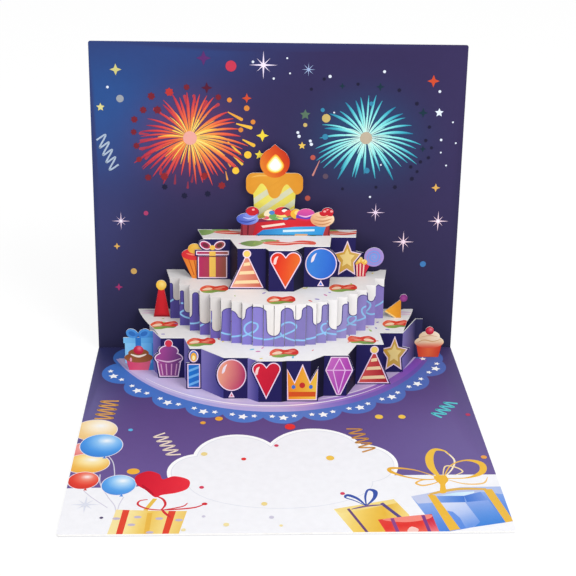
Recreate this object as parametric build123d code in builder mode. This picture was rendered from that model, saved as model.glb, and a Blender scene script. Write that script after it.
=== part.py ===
# A birthday pop-up card: a folded board cover that opens on a round three-tier cake of folded card
from build123d import *
import os
from math import cos, radians, sin, sqrt, tan

# Cover: two panels of printed board joined by one fold
panel_width = 200.0
panel_depth = 170.0
board = 1.0
corner_radius = 1.2
lean = 8.0  # degrees that the back panel leans behind upright

# Pop-up card and its hidden glue tabs
stock = 0.4
tab_depth = 6.0
tab_inset = 0.8
flap_depth = 14.0
flap_inset = 6.0

# Cake: three tiers drawn round one centre behind the back panel
centre_behind = 19.0
bottom_radius = 79.5
middle_radius = 64.0
top_radius = 47.7
bottom_height = 22.8
middle_height = 22.8
top_height = 22.7

# Front-facing blocks of the bottom and top walls: left and right edges in degrees round the cake
bottom_edges = (
    (-57.4, -39.3), (-38.0, -31.0), (-24.8, -12.1), (-10.9, 0.7),
    (2.4, 14.6), (17.0, 29.6), (31.3, 49.6), (43.8, 64.9),
)
top_edges = ((-70.6, -33.0), (-34.5, -8.4), (-6.5, 15.1), (16.6, 42.1), (37.4, 80.0))
overhang = 0.25  # share of a block that stands clear of the wall, on its outer side

# Slats of the middle tier
slat_count = 21
slat_slit = 0.3
slat_clear = 6.0  # from the back panel to where the row of slats begins

# Figures at the ends of the bottom wall: fold, depth before the back panel and size
present_fold = -67.5
present_front = 26.0
present_width = 16.0
present_height = 24.0
gift_height = 20.0
bun_width = 15.5
bun_height = 14.5
cherry_fold = 77.2
cherry_front = 11.7
cherry_width = 16.5
cherry_height = 18.0
end_core = 4.0

# Figures cut from the plates and folded up: place in from the plate's rear corner, depth before the back
# panel and size
red_hat_x = 13.6
red_hat_front = 9.5
red_hat_width = 9.2
red_hat_height = 21.5
tilted_hat_x = 9.8
tilted_hat_front = 10.8
tilted_hat_size = 12.0
cone_x = 15.9
cone_front = 11.5
cone_width = 14.0
cone_height = 20.0
popcorn_x = 15.6
popcorn_front = 8.6
popcorn_width = 6.0
popcorn_height = 11.5
lollipop_radius = 5.4

# Candle and row of sweets on the top plate
candle_x = -2.0
candle_front = 4.0
candle_width = 23.5
candle_foot = 20.4
candle_height = 33.0
cap_width = 30.8
cap_height = 11.8
cap_round = 4.0
flame_radius = 8.0
flame_height = 18.0
sweets_x = 4.0
sweets_front = 8.5
sweets_width = 53.0
sweets_height = 16.0
sweets_foot = 49.0
candle_tab = 3.0
sweets_tab = 3.0

# Values that follow
tilt = radians(lean)
up_the_lean = (0, sin(tilt), cos(tilt))
fold_y = panel_depth / 2
bottom_top = board + bottom_height
middle_top = bottom_top + middle_height
top_top = middle_top + top_height


# Frames: depths are measured from the back panel's face, which leans
def back_y(z):
    return fold_y + (z - board) * tan(tilt)


def level(z):
    return Plane((0, back_y(z), z))


def facing(x, depth, z):
    return Plane((x, back_y(z) + depth, z), x_dir=(1, 0, 0), z_dir=(0, -cos(tilt), sin(tilt)))


def raise_card(outline, height):
    extrude(outline.sketch, amount=height / cos(tilt), dir=up_the_lean)


def thicken(outline):
    extrude(outline.sketch, amount=stock, dir=(0, 1, 0))


def ring_depth(radius, x):
    return centre_behind - sqrt(radius**2 - x**2)


def rear_half_width(radius):
    return sqrt(radius**2 - centre_behind**2)


def on_ring(radius, degrees):
    x = radius * sin(radians(degrees))
    return x, ring_depth(radius, x)


# Outlines of the printed blocks and figures, standing on y = 0 and centred on x = 0
def star(width, height):
    rise = height / (1 + cos(radians(36)))
    reach = width / 2 / cos(radians(18))
    turns = [(radians(90 + 36 * i), 1 if i % 2 == 0 else 0.52) for i in range(10)]
    Polygon(*[(reach * s * cos(a), rise * (cos(radians(36)) + s * sin(a))) for a, s in turns], align=None)


def heart(width, height):
    lobe = 0.27 * width
    side = width / 2 - lobe
    with Locations((-side, height - lobe), (side, height - lobe)):
        Circle(lobe)
    edge = (side + lobe * cos(radians(30)), height - lobe - lobe * sin(radians(30)))
    Polygon((0, 0), edge, (side, height - lobe), (-side, height - lobe), (-edge[0], edge[1]), align=None)


def balloon(width, height):
    with Locations((0, 0.58 * height)):
        Ellipse(width / 2, 0.42 * height)
    Polygon((-0.16 * width, 0), (0.16 * width, 0), (0, 0.24 * height), align=None)


def gift(width, height):
    with Locations((0, 0.31 * height)):
        Rectangle(0.9 * width, 0.62 * height)
    with Locations((0, 0.66 * height)):
        Rectangle(width, 0.16 * height)
    for side in (-1, 1):
        with Locations((0.2 * side * width, 0.85 * height)):
            Ellipse(0.21 * width, 0.13 * height, rotation=25 * side)


def party_hat(width, height):
    pom = 0.13 * height
    shoulder = height - 1.4 * pom
    Polygon((-width / 2, 0), (width / 2, 0), (0.5 * pom, shoulder), (-0.5 * pom, shoulder), align=None)
    with Locations((0, height - pom)):
        Circle(pom)


def cupcake(width, height):
    foot, rim, rim_height = 0.34 * width, 0.44 * width, 0.45 * height
    Polygon((-foot, 0), (foot, 0), (rim, rim_height), (-rim, rim_height), align=None)
    with Locations((0, 0.5 * height)):
        Ellipse(0.5 * width, 0.2 * height)
    with Locations((0, 0.68 * height)):
        Ellipse(0.36 * width, 0.18 * height)
    with Locations((0, 0.87 * height)):
        Circle(0.13 * height)


def taper(width, height):
    with Locations((0, 0.33 * height)):
        Rectangle(width, 0.66 * height)
    with Locations((0, 0.82 * height)):
        Ellipse(0.4 * width, 0.18 * height)


def crown(width, height):
    half = width / 2
    Polygon((-half, 0), (half, 0), (half, 0.86 * height), (0.5 * half, 0.55 * height), (0, height),
            (-0.5 * half, 0.55 * height), (-half, 0.86 * height), align=None)


def gem(width, height):
    half = width / 2
    Polygon((-0.2 * half, 0), (0.2 * half, 0), (half, 0.64 * height), (0.62 * half, height),
            (-0.62 * half, height), (-half, 0.64 * height), align=None)


def ice_cream(width, height):
    half = width / 2
    Polygon((-0.16 * half, 0), (0.16 * half, 0), (half, 0.68 * height), (-half, 0.68 * height), align=None)
    with Locations((0, 0.7 * height)):
        Ellipse(half, 0.17 * height)
    with Locations((0, 0.86 * height)):
        Ellipse(0.5 * half, 0.14 * height)


def popcorn_box(width, height):
    half = width / 2
    puff = 0.42 * half
    Polygon((-half, 0), (half, 0), (1.3 * half, 0.65 * height), (-1.3 * half, 0.65 * height), align=None)
    with Locations((-0.8 * half, 0.7 * height), (0, height - puff), (0.8 * half, 0.7 * height)):
        Circle(puff)
    with Locations((0, 0.7 * height)):
        Ellipse(half, 0.2 * height)
    disc = (1.3 * half + 0.65 * lollipop_radius, height)
    with Locations(disc):
        Circle(lollipop_radius)
    Polygon((half, 0.2 * height), disc, (half, height), (0, 0.7 * height), align=None)


def tilted_hat(size):
    brim, peak = (-0.65 * size, 0.35 * size), (0.1 * size, 0.95 * size)
    Polygon((-0.1 * size, 0), (0.13 * size, 0), peak, brim, align=None)
    with Locations((0.22 * size, size)):
        Circle(0.18 * size)


def candle_shape():
    half, foot = candle_width / 2, candle_foot / 2
    cap_middle = candle_height - cap_height / 2
    Polygon((-foot, 0), (foot, 0), (half, cap_middle), (-half, cap_middle), align=None)
    with Locations((0, cap_middle)):
        RectangleRounded(cap_width, cap_height, cap_round)
    with Locations((0, candle_height + 0.7 * flame_radius)):
        Circle(flame_radius)
    shoulder = candle_height + flame_radius * (0.7 + sin(radians(30)))
    Polygon((-flame_radius * cos(radians(30)), shoulder), (flame_radius * cos(radians(30)), shoulder),
            (0, candle_height + flame_height - 0.3 * flame_radius), align=None)


def sweets_shape():
    half = sweets_width / 2
    tall = sweets_height
    Polygon((-sweets_foot / 2, 0), (sweets_foot / 2, 0), (0.9 * half, 0.5 * tall), (0.4 * half, 0.62 * tall),
            (-0.4 * half, 0.62 * tall), (-0.9 * half, 0.5 * tall), align=None)
    for x, y, wide, high in ((-0.78, 0.58, 0.22, 0.2), (-0.68, 0.82, 0.14, 0.18), (-0.3, 0.74, 0.14, 0.16),
                             (-0.06, 0.82, 0.17, 0.18), (0.2, 0.76, 0.12, 0.17), (0.42, 0.74, 0.18, 0.2),
                             (0.76, 0.58, 0.24, 0.26), (0.86, 0.82, 0.12, 0.16)):
        with Locations((x * half, y * tall)):
            Ellipse(wide * half, high * tall)


# Blocks: each faces forward at the depth of its tier's ring and folds back at its inner and outer edges
def block_places(edges, radius):
    places = []
    for left, right in edges:
        x0, x1 = radius * sin(radians(left)), radius * sin(radians(right))
        middle, hang = (x0 + x1) / 2, overhang * (x1 - x0)
        folds = (x0 + hang, x1) if middle < 0 else (x0, x1 - hang)
        places.append((middle, x1 - x0, ring_depth(radius, middle), folds))
    return places


def folded_strip(path, z, height):
    with BuildSketch(level(z)) as strip:
        with BuildLine():
            Polyline(*path)
            offset(amount=stock, side=Side.LEFT, kind=Kind.INTERSECTION)
        make_face()
    raise_card(strip, height)


def glue_tabs(places, z):
    with BuildSketch(level(z)) as tabs:
        for _, _, depth, (x0, x1) in places:
            Polygon((x0 + stock, depth), (x1 - stock, depth), (x1 - stock - tab_inset, depth + tab_depth),
                    (x0 + stock + tab_inset, depth + tab_depth), align=None)
    raise_card(tabs, stock)


def stand_blocks(places, motifs, z, height):
    for (middle, width, depth, _), motif in zip(places, motifs, strict=True):
        with BuildSketch(facing(middle, depth, z)) as block:
            motif(width, height / cos(tilt))
        thicken(block)


def rear_flap(half_width, z):
    with BuildSketch(level(z - flap_depth)) as flap:
        with Locations((0, -stock / 2)):
            Rectangle(2 * (half_width - flap_inset), stock)
    raise_card(flap, flap_depth)


def fold_up(x, front, z, outline, *sizes):
    """Cuts an outline out of a plate, on over its rear fold into the flap, and stands it up at the cut's front."""
    with BuildSketch(Plane((x, back_y(z) - front, z))) as cut:
        outline(*sizes)
    extrude(cut.sketch, amount=-stock, mode=Mode.SUBTRACT)
    down_the_flap = Plane((x, back_y(z), z), x_dir=(1, 0, 0), z_dir=(0, cos(tilt), -sin(tilt)))
    with BuildSketch(down_the_flap) as rest_of_cut:
        with Locations((0, -front)):
            outline(*sizes)
    extrude(rest_of_cut.sketch, amount=-stock, mode=Mode.SUBTRACT)
    with BuildSketch(facing(x, -front - stock, z - stock)) as figure:
        outline(*sizes)
    thicken(figure)


bottom_motifs = (cupcake, taper, balloon, heart, crown, gem, party_hat, star)
top_motifs = (gift, party_hat, heart, balloon, star)
bottom_places = block_places(bottom_edges, bottom_radius)
top_places = block_places(top_edges, top_radius)
bottom_folds = [(x, depth) for _, _, depth, folds in bottom_places for x in folds]
top_folds = [(x, depth) for _, _, depth, folds in top_places for x in folds]

# Cover: base and back panels folded from one board
with BuildPart() as folded_cover:
    with BuildSketch(Plane.YZ.offset(-panel_width / 2)):
        with BuildLine():
            top_edge = (fold_y + panel_depth * sin(tilt), board + panel_depth * cos(tilt))
            outer_edge = (top_edge[0] + board * cos(tilt), top_edge[1] - board * sin(tilt))
            spine_end = (fold_y + board * cos(tilt), board - board * sin(tilt))
            profile = Polyline((fold_y, 0), (-fold_y, 0), (-fold_y, board), (fold_y, board),
                               top_edge, outer_edge, spine_end)
            RadiusArc(profile @ 1, profile @ 0, -board)
        make_face()
    extrude(amount=panel_width)
    free_corners = folded_cover.edges().group_by(SortBy.LENGTH)[0]
    fillet(free_corners, corner_radius)

# Bottom tier: a strip of blocks that ends in two figures, and the plate that lies on it
bottom_wall_height = bottom_height - stock
with BuildPart() as bottom_wall:
    present_edge = [(present_fold - end_core, -present_front), (present_fold, -present_front)]
    cherry_edge = [(cherry_fold, -cherry_front), (cherry_fold + end_core, -cherry_front)]
    folded_strip(present_edge + bottom_folds + cherry_edge, board, bottom_wall_height)
    glue_tabs(bottom_places, board)
    glue_tabs(bottom_places, bottom_top - 2 * stock)
    stand_blocks(bottom_places, bottom_motifs, board, bottom_wall_height)
    with BuildSketch(facing(present_fold - present_width / 2, -present_front, board)) as present:
        cupcake(bun_width, bun_height)
        with Locations((0, present_height - gift_height)):
            gift(present_width, gift_height)
    thicken(present)
    with BuildSketch(facing(cherry_fold + cherry_width / 2, -cherry_front, board)) as cherry:
        cupcake(cherry_width, cherry_height)
    thicken(cherry)

with BuildPart() as bottom_plate:
    with BuildSketch(level(bottom_top - stock)) as plate:
        with BuildLine():
            half = rear_half_width(bottom_radius)
            left_arc = RadiusArc((-half, 0), on_ring(bottom_radius, bottom_edges[0][0]), -bottom_radius)
            right_arc = RadiusArc((half, 0), on_ring(bottom_radius, bottom_edges[-1][1]), bottom_radius)
            Polyline(left_arc @ 1, *bottom_folds, right_arc @ 1)
            Line((-half, 0), (half, 0))
        make_face()
    raise_card(plate, stock)
    rear_flap(half, bottom_top)
    fold_up(red_hat_x - half, red_hat_front, bottom_top, party_hat, red_hat_width, red_hat_height)
    fold_up(half - tilted_hat_x, tilted_hat_front, bottom_top, tilted_hat, tilted_hat_size)

# Middle tier: one sheet, its plate folded down at the front into a row of slats
with BuildPart() as middle_tier:
    row_half = sqrt(middle_radius**2 - (centre_behind + slat_clear) ** 2)
    pitch = 2 * row_half / slat_count
    slats = [(pitch * (i + 0.5) - row_half, ring_depth(middle_radius, pitch * (i + 0.5) - row_half))
             for i in range(slat_count)]
    steps = [(x + side * pitch / 2, depth) for x, depth in slats for side in (-1, 1)]
    half = rear_half_width(middle_radius)
    with BuildSketch(level(middle_top - stock)) as plate:
        Polygon((-half, 0), *steps, (half, 0), align=None)
    raise_card(plate, stock)
    with BuildSketch(level(bottom_top)) as slat_row:
        for x, depth in slats:
            with Locations((x, depth + stock / 2)):
                Rectangle(pitch - slat_slit, stock)
    raise_card(slat_row, middle_height)
    with BuildSketch(level(bottom_top)) as feet:
        for x, depth in slats:
            with Locations((x, depth + tab_depth / 2)):
                Rectangle(pitch - 2 * tab_inset, tab_depth)
    raise_card(feet, stock)
    rear_flap(half, middle_top)
    fold_up(cone_x - half, cone_front, middle_top, ice_cream, cone_width, cone_height)
    fold_up(half - popcorn_x, popcorn_front, middle_top, popcorn_box, popcorn_width, popcorn_height)

# Top tier: a shorter strip of blocks and its plate
top_wall_height = top_height - stock
with BuildPart() as top_wall:
    folded_strip(top_folds, middle_top, top_wall_height)
    glue_tabs(top_places, middle_top)
    glue_tabs(top_places, top_top - 2 * stock)
    stand_blocks(top_places, top_motifs, middle_top, top_wall_height)

with BuildPart() as top_plate:
    half = rear_half_width(top_radius)
    with BuildSketch(level(top_top - stock)) as plate:
        Polygon((-half, 0), *top_folds, (half, 0), align=None)
    raise_card(plate, stock)
    rear_flap(half, top_top)

# Candle and row of sweets: cut-outs glued to the top plate by their foot tabs
with BuildPart() as candle:
    with BuildSketch(facing(candle_x, -candle_front, top_top)) as outline:
        candle_shape()
    thicken(outline)
    with BuildSketch(level(top_top)) as foot:
        with Locations((candle_x, candle_tab / 2 - candle_front)):
            Rectangle(candle_foot - 2 * tab_inset, candle_tab)
    raise_card(foot, stock)

with BuildPart() as sweets_strip:
    with BuildSketch(facing(sweets_x, -sweets_front, top_top)) as outline:
        sweets_shape()
    thicken(outline)
    with BuildSketch(level(top_top)) as foot:
        with Locations((sweets_x, sweets_tab / 2 - sweets_front)):
            Rectangle(sweets_foot - 2 * tab_inset, sweets_tab)
    raise_card(foot, stock)

pieces = {
    "folded_cover": folded_cover,
    "bottom_wall": bottom_wall,
    "bottom_plate": bottom_plate,
    "middle_tier": middle_tier,
    "top_wall": top_wall,
    "top_plate": top_plate,
    "candle": candle,
    "sweets_strip": sweets_strip,
}
os.makedirs("parts", exist_ok=True)
for name, piece in pieces.items():
    piece.part.label = name
    export_step(piece.part, f"parts/{name}.step")
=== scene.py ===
"""Looks of the birthday pop-up card: printed colour on its folded card, under soft white studio light."""

import logging
from collections.abc import Iterable
from dataclasses import dataclass, field, replace
from enum import Enum
from functools import partial
from math import acos, cos, exp, hypot, pi, radians, sin, sqrt, tau
from typing import Any, Protocol

import bmesh
import bpy
from bpy.types import Material, Mesh, Node, NodeSocket, NodeTree, Object
from mathutils import Matrix, Vector
from mathutils.geometry import delaunay_2d_cdt


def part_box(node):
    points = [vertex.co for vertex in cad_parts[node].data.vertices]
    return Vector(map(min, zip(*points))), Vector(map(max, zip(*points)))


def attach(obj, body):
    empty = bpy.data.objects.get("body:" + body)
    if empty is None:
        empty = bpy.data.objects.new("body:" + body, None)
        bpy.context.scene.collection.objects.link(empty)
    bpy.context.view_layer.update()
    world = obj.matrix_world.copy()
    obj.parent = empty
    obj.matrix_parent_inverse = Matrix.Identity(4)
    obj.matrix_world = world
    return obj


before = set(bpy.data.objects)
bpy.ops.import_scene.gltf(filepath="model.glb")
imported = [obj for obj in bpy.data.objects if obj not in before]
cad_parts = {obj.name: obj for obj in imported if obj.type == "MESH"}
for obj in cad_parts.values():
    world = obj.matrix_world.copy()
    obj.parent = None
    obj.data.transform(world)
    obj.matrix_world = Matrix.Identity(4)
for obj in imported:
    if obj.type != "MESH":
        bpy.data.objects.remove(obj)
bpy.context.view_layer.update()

log = logging.getLogger("pop_up_card")

# Metres in a millimetre, and square centimetres in a square metre
MM = 0.001
SQUARE_CM = 1e4
BODY = "root"
INK = "ink"

Point = tuple[float, float]
Loop = list[Point]
Colour = tuple[float, float, float]
Place = tuple[float, float, float]
Inks = tuple[str, ...]

# Thickness of an ink film and how far each layer of print stands off the card, in millimetres: drawn thicker
# than real ink so that no two layers share a plane
FILM_FOOT = 0.002
FILM_TOP = 0.04
DUST_LIFT = 0.045
STREAK_LIFT = 0.10
STAR_LIFT = 0.13
DISC_LIFT = 0.15
SPOT_FILM = 0.015
SPOT_STEP = 1.5 * SPOT_FILM

# Least divisor at a sharp corner that is moved outwards, which keeps its tip from running away
SHARPEST = 0.3
# Cosines that tell where a face looks: in one plane with another, level, forward with the back panel,
# upright, and outwards from the cake
SAME_PLANE = 0.9995
LEVEL = 0.999
FORWARD = 0.9
ASKEW = 0.01
UPRIGHT = 0.5
OUTWARD = 0.1
SIDEWAYS = 0.02
# Smallest front and side that carry print of their own, in millimetres and square millimetres
LEAST_FRONT = 3.0
LEAST_SIDE = 20.0
# Corners are one where they agree to a micrometre
MICRONS = 1e6
# Distance at which two points of print are one, in millimetres
ONE_POINT = 1e-4
# Share of their spacing that the inner points of a field keep from its edge
EDGE_GAP = 0.2


class Slot(Enum):
    """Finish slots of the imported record."""

    COVER = "cover_board"
    CARD = "pop_up_card"


class Motif(Enum):
    """Shapes that the front-facing blocks of the cake are cut to."""

    CUPCAKE = "cupcake"
    TAPER = "taper"
    BALLOON = "balloon"
    HEART = "heart"
    CROWN = "crown"
    GEM = "gem"
    HAT = "party_hat"
    STAR = "star"
    GIFT = "gift"


# Colour

def srgb(code: str) -> Colour:
    """Reads a hex colour such as "#aabbcc" as three sRGB shares from 0 to 1."""
    return tuple(int(code[i:i + 2], 16) / 255 for i in (1, 3, 5))


def linear(colour: Colour | str) -> tuple[float, float, float, float]:
    """Turns a hex code or three sRGB shares to linear light, with an alpha of 1."""
    shares = srgb(colour) if isinstance(colour, str) else colour
    return (*(s / 12.92 if s <= 0.04045 else ((s + 0.055) / 1.055) ** 2.4 for s in shares), 1)


def mix(first: Colour, second: Colour, share: float) -> Colour:
    """Blends two sRGB colours by the share of the second."""
    return tuple(a + (b - a) * share for a, b in zip(first, second))


def along(codes: Inks, share: float) -> Colour:
    """Reads a colour from a run of evenly spaced ones.

    Args:
        codes: Hex colours in order.
        share: Place along the run, from 0 to 1.

    Returns:
        The sRGB colour there.
    """
    place = min(max(share, 0.0), 1.0) * (len(codes) - 1)
    step = min(int(place), len(codes) - 2)
    return mix(srgb(codes[step]), srgb(codes[step + 1]), place - step)


def hex_code(colour: Colour) -> str:
    """Writes a colour as a hex code."""
    return "#" + "".join(f"{round(255 * c):02x}" for c in colour)


class Tint(Protocol):
    """A printed colour that may change over its field."""

    def at(self, x: float, y: float) -> Colour:
        """Gives the sRGB colour at a point of the field, in millimetres."""


@dataclass(frozen=True)
class Flat:
    """One even colour."""

    code: str

    def at(self, x: float, y: float) -> Colour:
        """Gives the same colour everywhere."""
        return srgb(self.code)


@dataclass(frozen=True)
class Fade:
    """Colours that follow each other along a line."""

    codes: Inks
    start: Point
    end: Point

    def at(self, x: float, y: float) -> Colour:
        """Reads the colour at a point.

        Args:
            x: Place across, in millimetres.
            y: Place upwards.

        Returns:
            The colour at the point's place along the line.
        """
        run = (self.end[0] - self.start[0], self.end[1] - self.start[1])
        share = ((x - self.start[0]) * run[0] + (y - self.start[1]) * run[1]) / (run[0] ** 2 + run[1] ** 2)
        return along(self.codes, share)


@dataclass(frozen=True)
class Bloom:
    """Colours that follow each other outwards from a middle."""

    codes: Inks
    middle: Point
    reach: Point

    def at(self, x: float, y: float) -> Colour:
        """Gives the colour at the point's distance from the middle."""
        share = hypot((x - self.middle[0]) / self.reach[0], (y - self.middle[1]) / self.reach[1])
        return along(self.codes, share)


@dataclass(frozen=True)
class Glow:
    """A soft cloud of colour laid over a ground: printed glows, and also painted shade and painted light on
    the panels.
    """

    code: str
    middle: Point
    reach: Point
    strength: float


@dataclass(frozen=True)
class Dusk:
    """A fading ground with soft glows over it."""

    ground: Fade
    glows: tuple[Glow, ...]

    def at(self, x: float, y: float) -> Colour:
        """Reads the colour at a point.

        Args:
            x: Place across, in millimetres.
            y: Place upwards.

        Returns:
            The ground's colour under the glows that reach it.
        """
        colour = self.ground.at(x, y)
        for glow in self.glows:
            far = hypot((x - glow.middle[0]) / glow.reach[0], (y - glow.middle[1]) / glow.reach[1])
            colour = mix(colour, srgb(glow.code), glow.strength * exp(-far * far))
        return colour


# Outlines, in millimetres

def oval(x: float, y: float, wide: float, high: float | None = None, turn: float = 0.0,
        steps: int = 32) -> Loop:
    """Draws a circle or an ellipse.

    Args:
        x: Middle, across.
        y: Middle, upwards.
        wide: Half its width.
        high: Half its height, or None for a circle.
        turn: Degrees that it is turned to the left.
        steps: Corners round it.

    Returns:
        The outline.
    """
    tall = wide if high is None else high
    c, s = cos(radians(turn)), sin(radians(turn))
    ring = [(wide * cos(tau * i / steps), tall * sin(tau * i / steps)) for i in range(steps)]
    return [(x + c * a - s * b, y + s * a + c * b) for a, b in ring]


def flow(points: Loop, closed: bool = False, steps: int = 6) -> Loop:
    """Rounds a row of points into a smooth line.

    Args:
        points: Points that the line passes.
        closed: Whether the line comes back to its start.
        steps: Short pieces between two points.

    Returns:
        The points of the smooth line.
    """
    count = len(points)
    spans = count if closed else count - 1
    line = []
    for i in range(spans):
        near = [points[k % count] if closed else points[min(max(k, 0), count - 1)]
            for k in range(i - 1, i + 3)]
        for j in range(steps):
            t = j / steps
            weights = (-t ** 3 + 2 * t * t - t, 3 * t ** 3 - 5 * t * t + 2, -3 * t ** 3 + 4 * t * t + t,
                       t ** 3 - t * t)
            line.append(tuple(sum(w * v for w, v in zip(weights, values)) / 2 for values in zip(*near)))
    return line if closed else line + [points[-1]]


def stroke(line: Loop, width: float, ends: tuple[float, float] = (1.0, 1.0)) -> list[Loop]:
    """Widens a line into a pen stroke.

    Args:
        line: Points of the line.
        width: Width of the stroke in its middle.
        ends: Shares of the width that its start and end have.

    Returns:
        The stroke, as four-sided outlines that share their ends.
    """
    shares = [i / (len(line) - 1) for i in range(len(line))]
    return ribbon([(x, y, width * (sin(pi * s) + (1 - sin(pi * s)) * (ends[0] if s < 0.5 else ends[1])))
        for (x, y), s in zip(line, shares)])


def ribbon(line: list[Place]) -> list[Loop]:
    """Widens a line by a width of its own at each point.

    Args:
        line: Place and width at each point.

    Returns:
        The ribbon, as four-sided outlines that share their ends.
    """
    edges = []
    for i, (x, y, width) in enumerate(line):
        before, after = line[max(i - 1, 0)], line[min(i + 1, len(line) - 1)]
        run = hypot(after[0] - before[0], after[1] - before[1]) or 1.0
        across, up = width / 2 * (before[1] - after[1]) / run, width / 2 * (after[0] - before[0]) / run
        edges.append(((x + across, y + up), (x - across, y - up)))
    return [[a[1], b[1], b[0], a[0]] for a, b in zip(edges, edges[1:])]


def bar(x0: float, y0: float, x1: float, y1: float) -> Loop:
    """Draws an upright rectangle between two corners."""
    return [(x0, y0), (x1, y0), (x1, y1), (x0, y1)]


def area(outline: Iterable[Point]) -> float:
    """Gives an outline's area, which is negative where it runs to the right."""
    points = list(outline)
    return sum(a[0] * b[1] - b[0] * a[1] for a, b in zip(points, points[1:] + points[:1])) / 2


def grow(outline: Loop, distance: float) -> Loop:
    """Moves an outline's edges outwards.

    Args:
        outline: The outline.
        distance: How far, where a negative one moves them inwards.

    Returns:
        The moved outline.
    """
    loop = outline if area(outline) > 0 else outline[::-1]
    pushed = []
    for before, here, after in zip(loop[-1:] + loop[:-1], loop, loop[1:] + loop[:1]):
        sides = []
        for a, b in ((before, here), (here, after)):
            run = hypot(b[0] - a[0], b[1] - a[1]) or 1.0
            sides.append(((b[1] - a[1]) / run, (a[0] - b[0]) / run))
        total = (sides[0][0] + sides[1][0], sides[0][1] + sides[1][1])
        stretch = max(1 + sides[0][0] * sides[1][0] + sides[0][1] * sides[1][1], SHARPEST)
        pushed.append((here[0] + distance * total[0] / stretch, here[1] + distance * total[1] / stretch))
    return pushed


def moved(outline: Loop, x: float, y: float, scale: Point = (1.0, 1.0), turn: float = 0.0) -> Loop:
    """Scales, turns and then moves an outline.

    Args:
        outline: The outline.
        x: Distance across.
        y: Distance upwards.
        scale: Scale across and upwards.
        turn: Degrees to the left.

    Returns:
        The outline in its new place.
    """
    c, s = cos(radians(turn)), sin(radians(turn))
    return [(x + c * a * scale[0] - s * b * scale[1], y + s * a * scale[0] + c * b * scale[1])
        for a, b in outline]


def inside(outline: Loop, x: float, y: float) -> bool:
    """Says whether a point lies inside an outline.

    Args:
        outline: The outline.
        x: Place across, in millimetres.
        y: Place upwards.

    Returns:
        Whether it does.
    """
    within = False
    for (ax, ay), (bx, by) in zip(outline, outline[1:] + outline[:1]):
        if (ay > y) != (by > y) and x < (bx - ax) * (y - ay) / (by - ay) + ax:
            within = not within
    return within


# Flat faces of the card

@dataclass(frozen=True)
class CardFace:
    """One flat face of a card piece, with axes of its own in millimetres."""

    loops: tuple[Loop, ...]
    across: Vector
    up: Vector
    normal: Vector
    depth: float
    shift: Point = (0.0, 0.0)

    def place(self, x: float, y: float, lift: float) -> Vector:
        """Gives the point, in metres, that lies over a place on the face."""
        u, v = (x + self.shift[0]) * MM, (y + self.shift[1]) * MM
        return u * self.across + v * self.up + (self.depth + lift * MM) * self.normal

    def outlines(self) -> list[Loop]:
        """Gives the face's edge and its holes on its own axes."""
        return [[(u - self.shift[0], v - self.shift[1]) for u, v in loop] for loop in self.loops]

    def box(self) -> tuple[float, float, float, float]:
        """Measures the face.

        Returns:
            Its left, lower, right and upper limits.
        """
        edge = self.outlines()[0]
        across, up = [p[0] for p in edge], [p[1] for p in edge]
        return min(across), min(up), max(across), max(up)

    def size(self) -> Point:
        """Gives the face's width and height."""
        left, low, right, high = self.box()
        return right - left, high - low

    def seated(self) -> "CardFace":
        """Gives the face with its axes at the middle of its lower edge."""
        left, low, right, _ = replace(self, shift=(0, 0)).box()
        return replace(self, shift=((left + right) / 2, low))

    def based(self) -> "CardFace":
        """Gives the face with its height measured from its lower edge."""
        return replace(self, shift=(0, replace(self, shift=(0, 0)).box()[1]))

    def foot(self) -> float:
        """Gives the height of the face's lower edge, in metres."""
        return self.place(0.0, self.box()[1], 0.0).z

    def forward(self) -> bool:
        """Says whether the face looks forward with the back panel."""
        return abs(self.normal.x) < ASKEW and self.normal.y < -FORWARD

    def middle(self) -> Vector:
        """Gives the middle of the face's box, in metres."""
        left, low, right, high = self.box()
        return self.place((left + right) / 2, (low + high) / 2, 0.0)

    def axes(self) -> tuple[Vector, Vector]:
        """Gives the place and turn that carry flat print from the floor plane onto the face."""
        turn = Matrix((self.across, self.up, self.normal)).transposed()
        return self.place(0.0, 0.0, 0.0), Vector(turn.to_euler())


def card_faces(node: str) -> list[CardFace]:
    """Finds the flat faces of a CAD node.

    Args:
        node: The node's name.

    Returns:
        Its flat faces, each with its edge first and then its holes.
    """
    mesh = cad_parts[node].data
    mesh.calc_loop_triangles()
    known, corners, triangles, normals = {}, [], [], []
    for triangle in mesh.loop_triangles:
        ids = []
        for vertex in triangle.vertices:
            place = mesh.vertices[vertex].co
            key = tuple(round(c * MICRONS) for c in place)
            if key not in known:
                known[key] = len(corners)
                corners.append(place.copy())
            ids.append(known[key])
        if len(set(ids)) == 3:
            triangles.append(tuple(ids))
            normals.append(triangle.normal.copy())
    sides = {}
    for i, (a, b, c) in enumerate(triangles):
        for edge in ((a, b), (b, c), (c, a)):
            sides.setdefault(frozenset(edge), []).append(i)
    faces, seen = [], set()
    for first in range(len(triangles)):
        if first in seen:
            continue
        seen.add(first)
        group, reached = [first], [first]
        while reached:
            here = reached.pop()
            a, b, c = triangles[here]
            for edge in ((a, b), (b, c), (c, a)):
                for other in sides[frozenset(edge)]:
                    if other not in seen and normals[other].dot(normals[here]) > SAME_PLANE:
                        seen.add(other)
                        group.append(other)
                        reached.append(other)
        faces.append(flat_face([triangles[i] for i in group], corners, normals[first]))
    return faces


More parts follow.
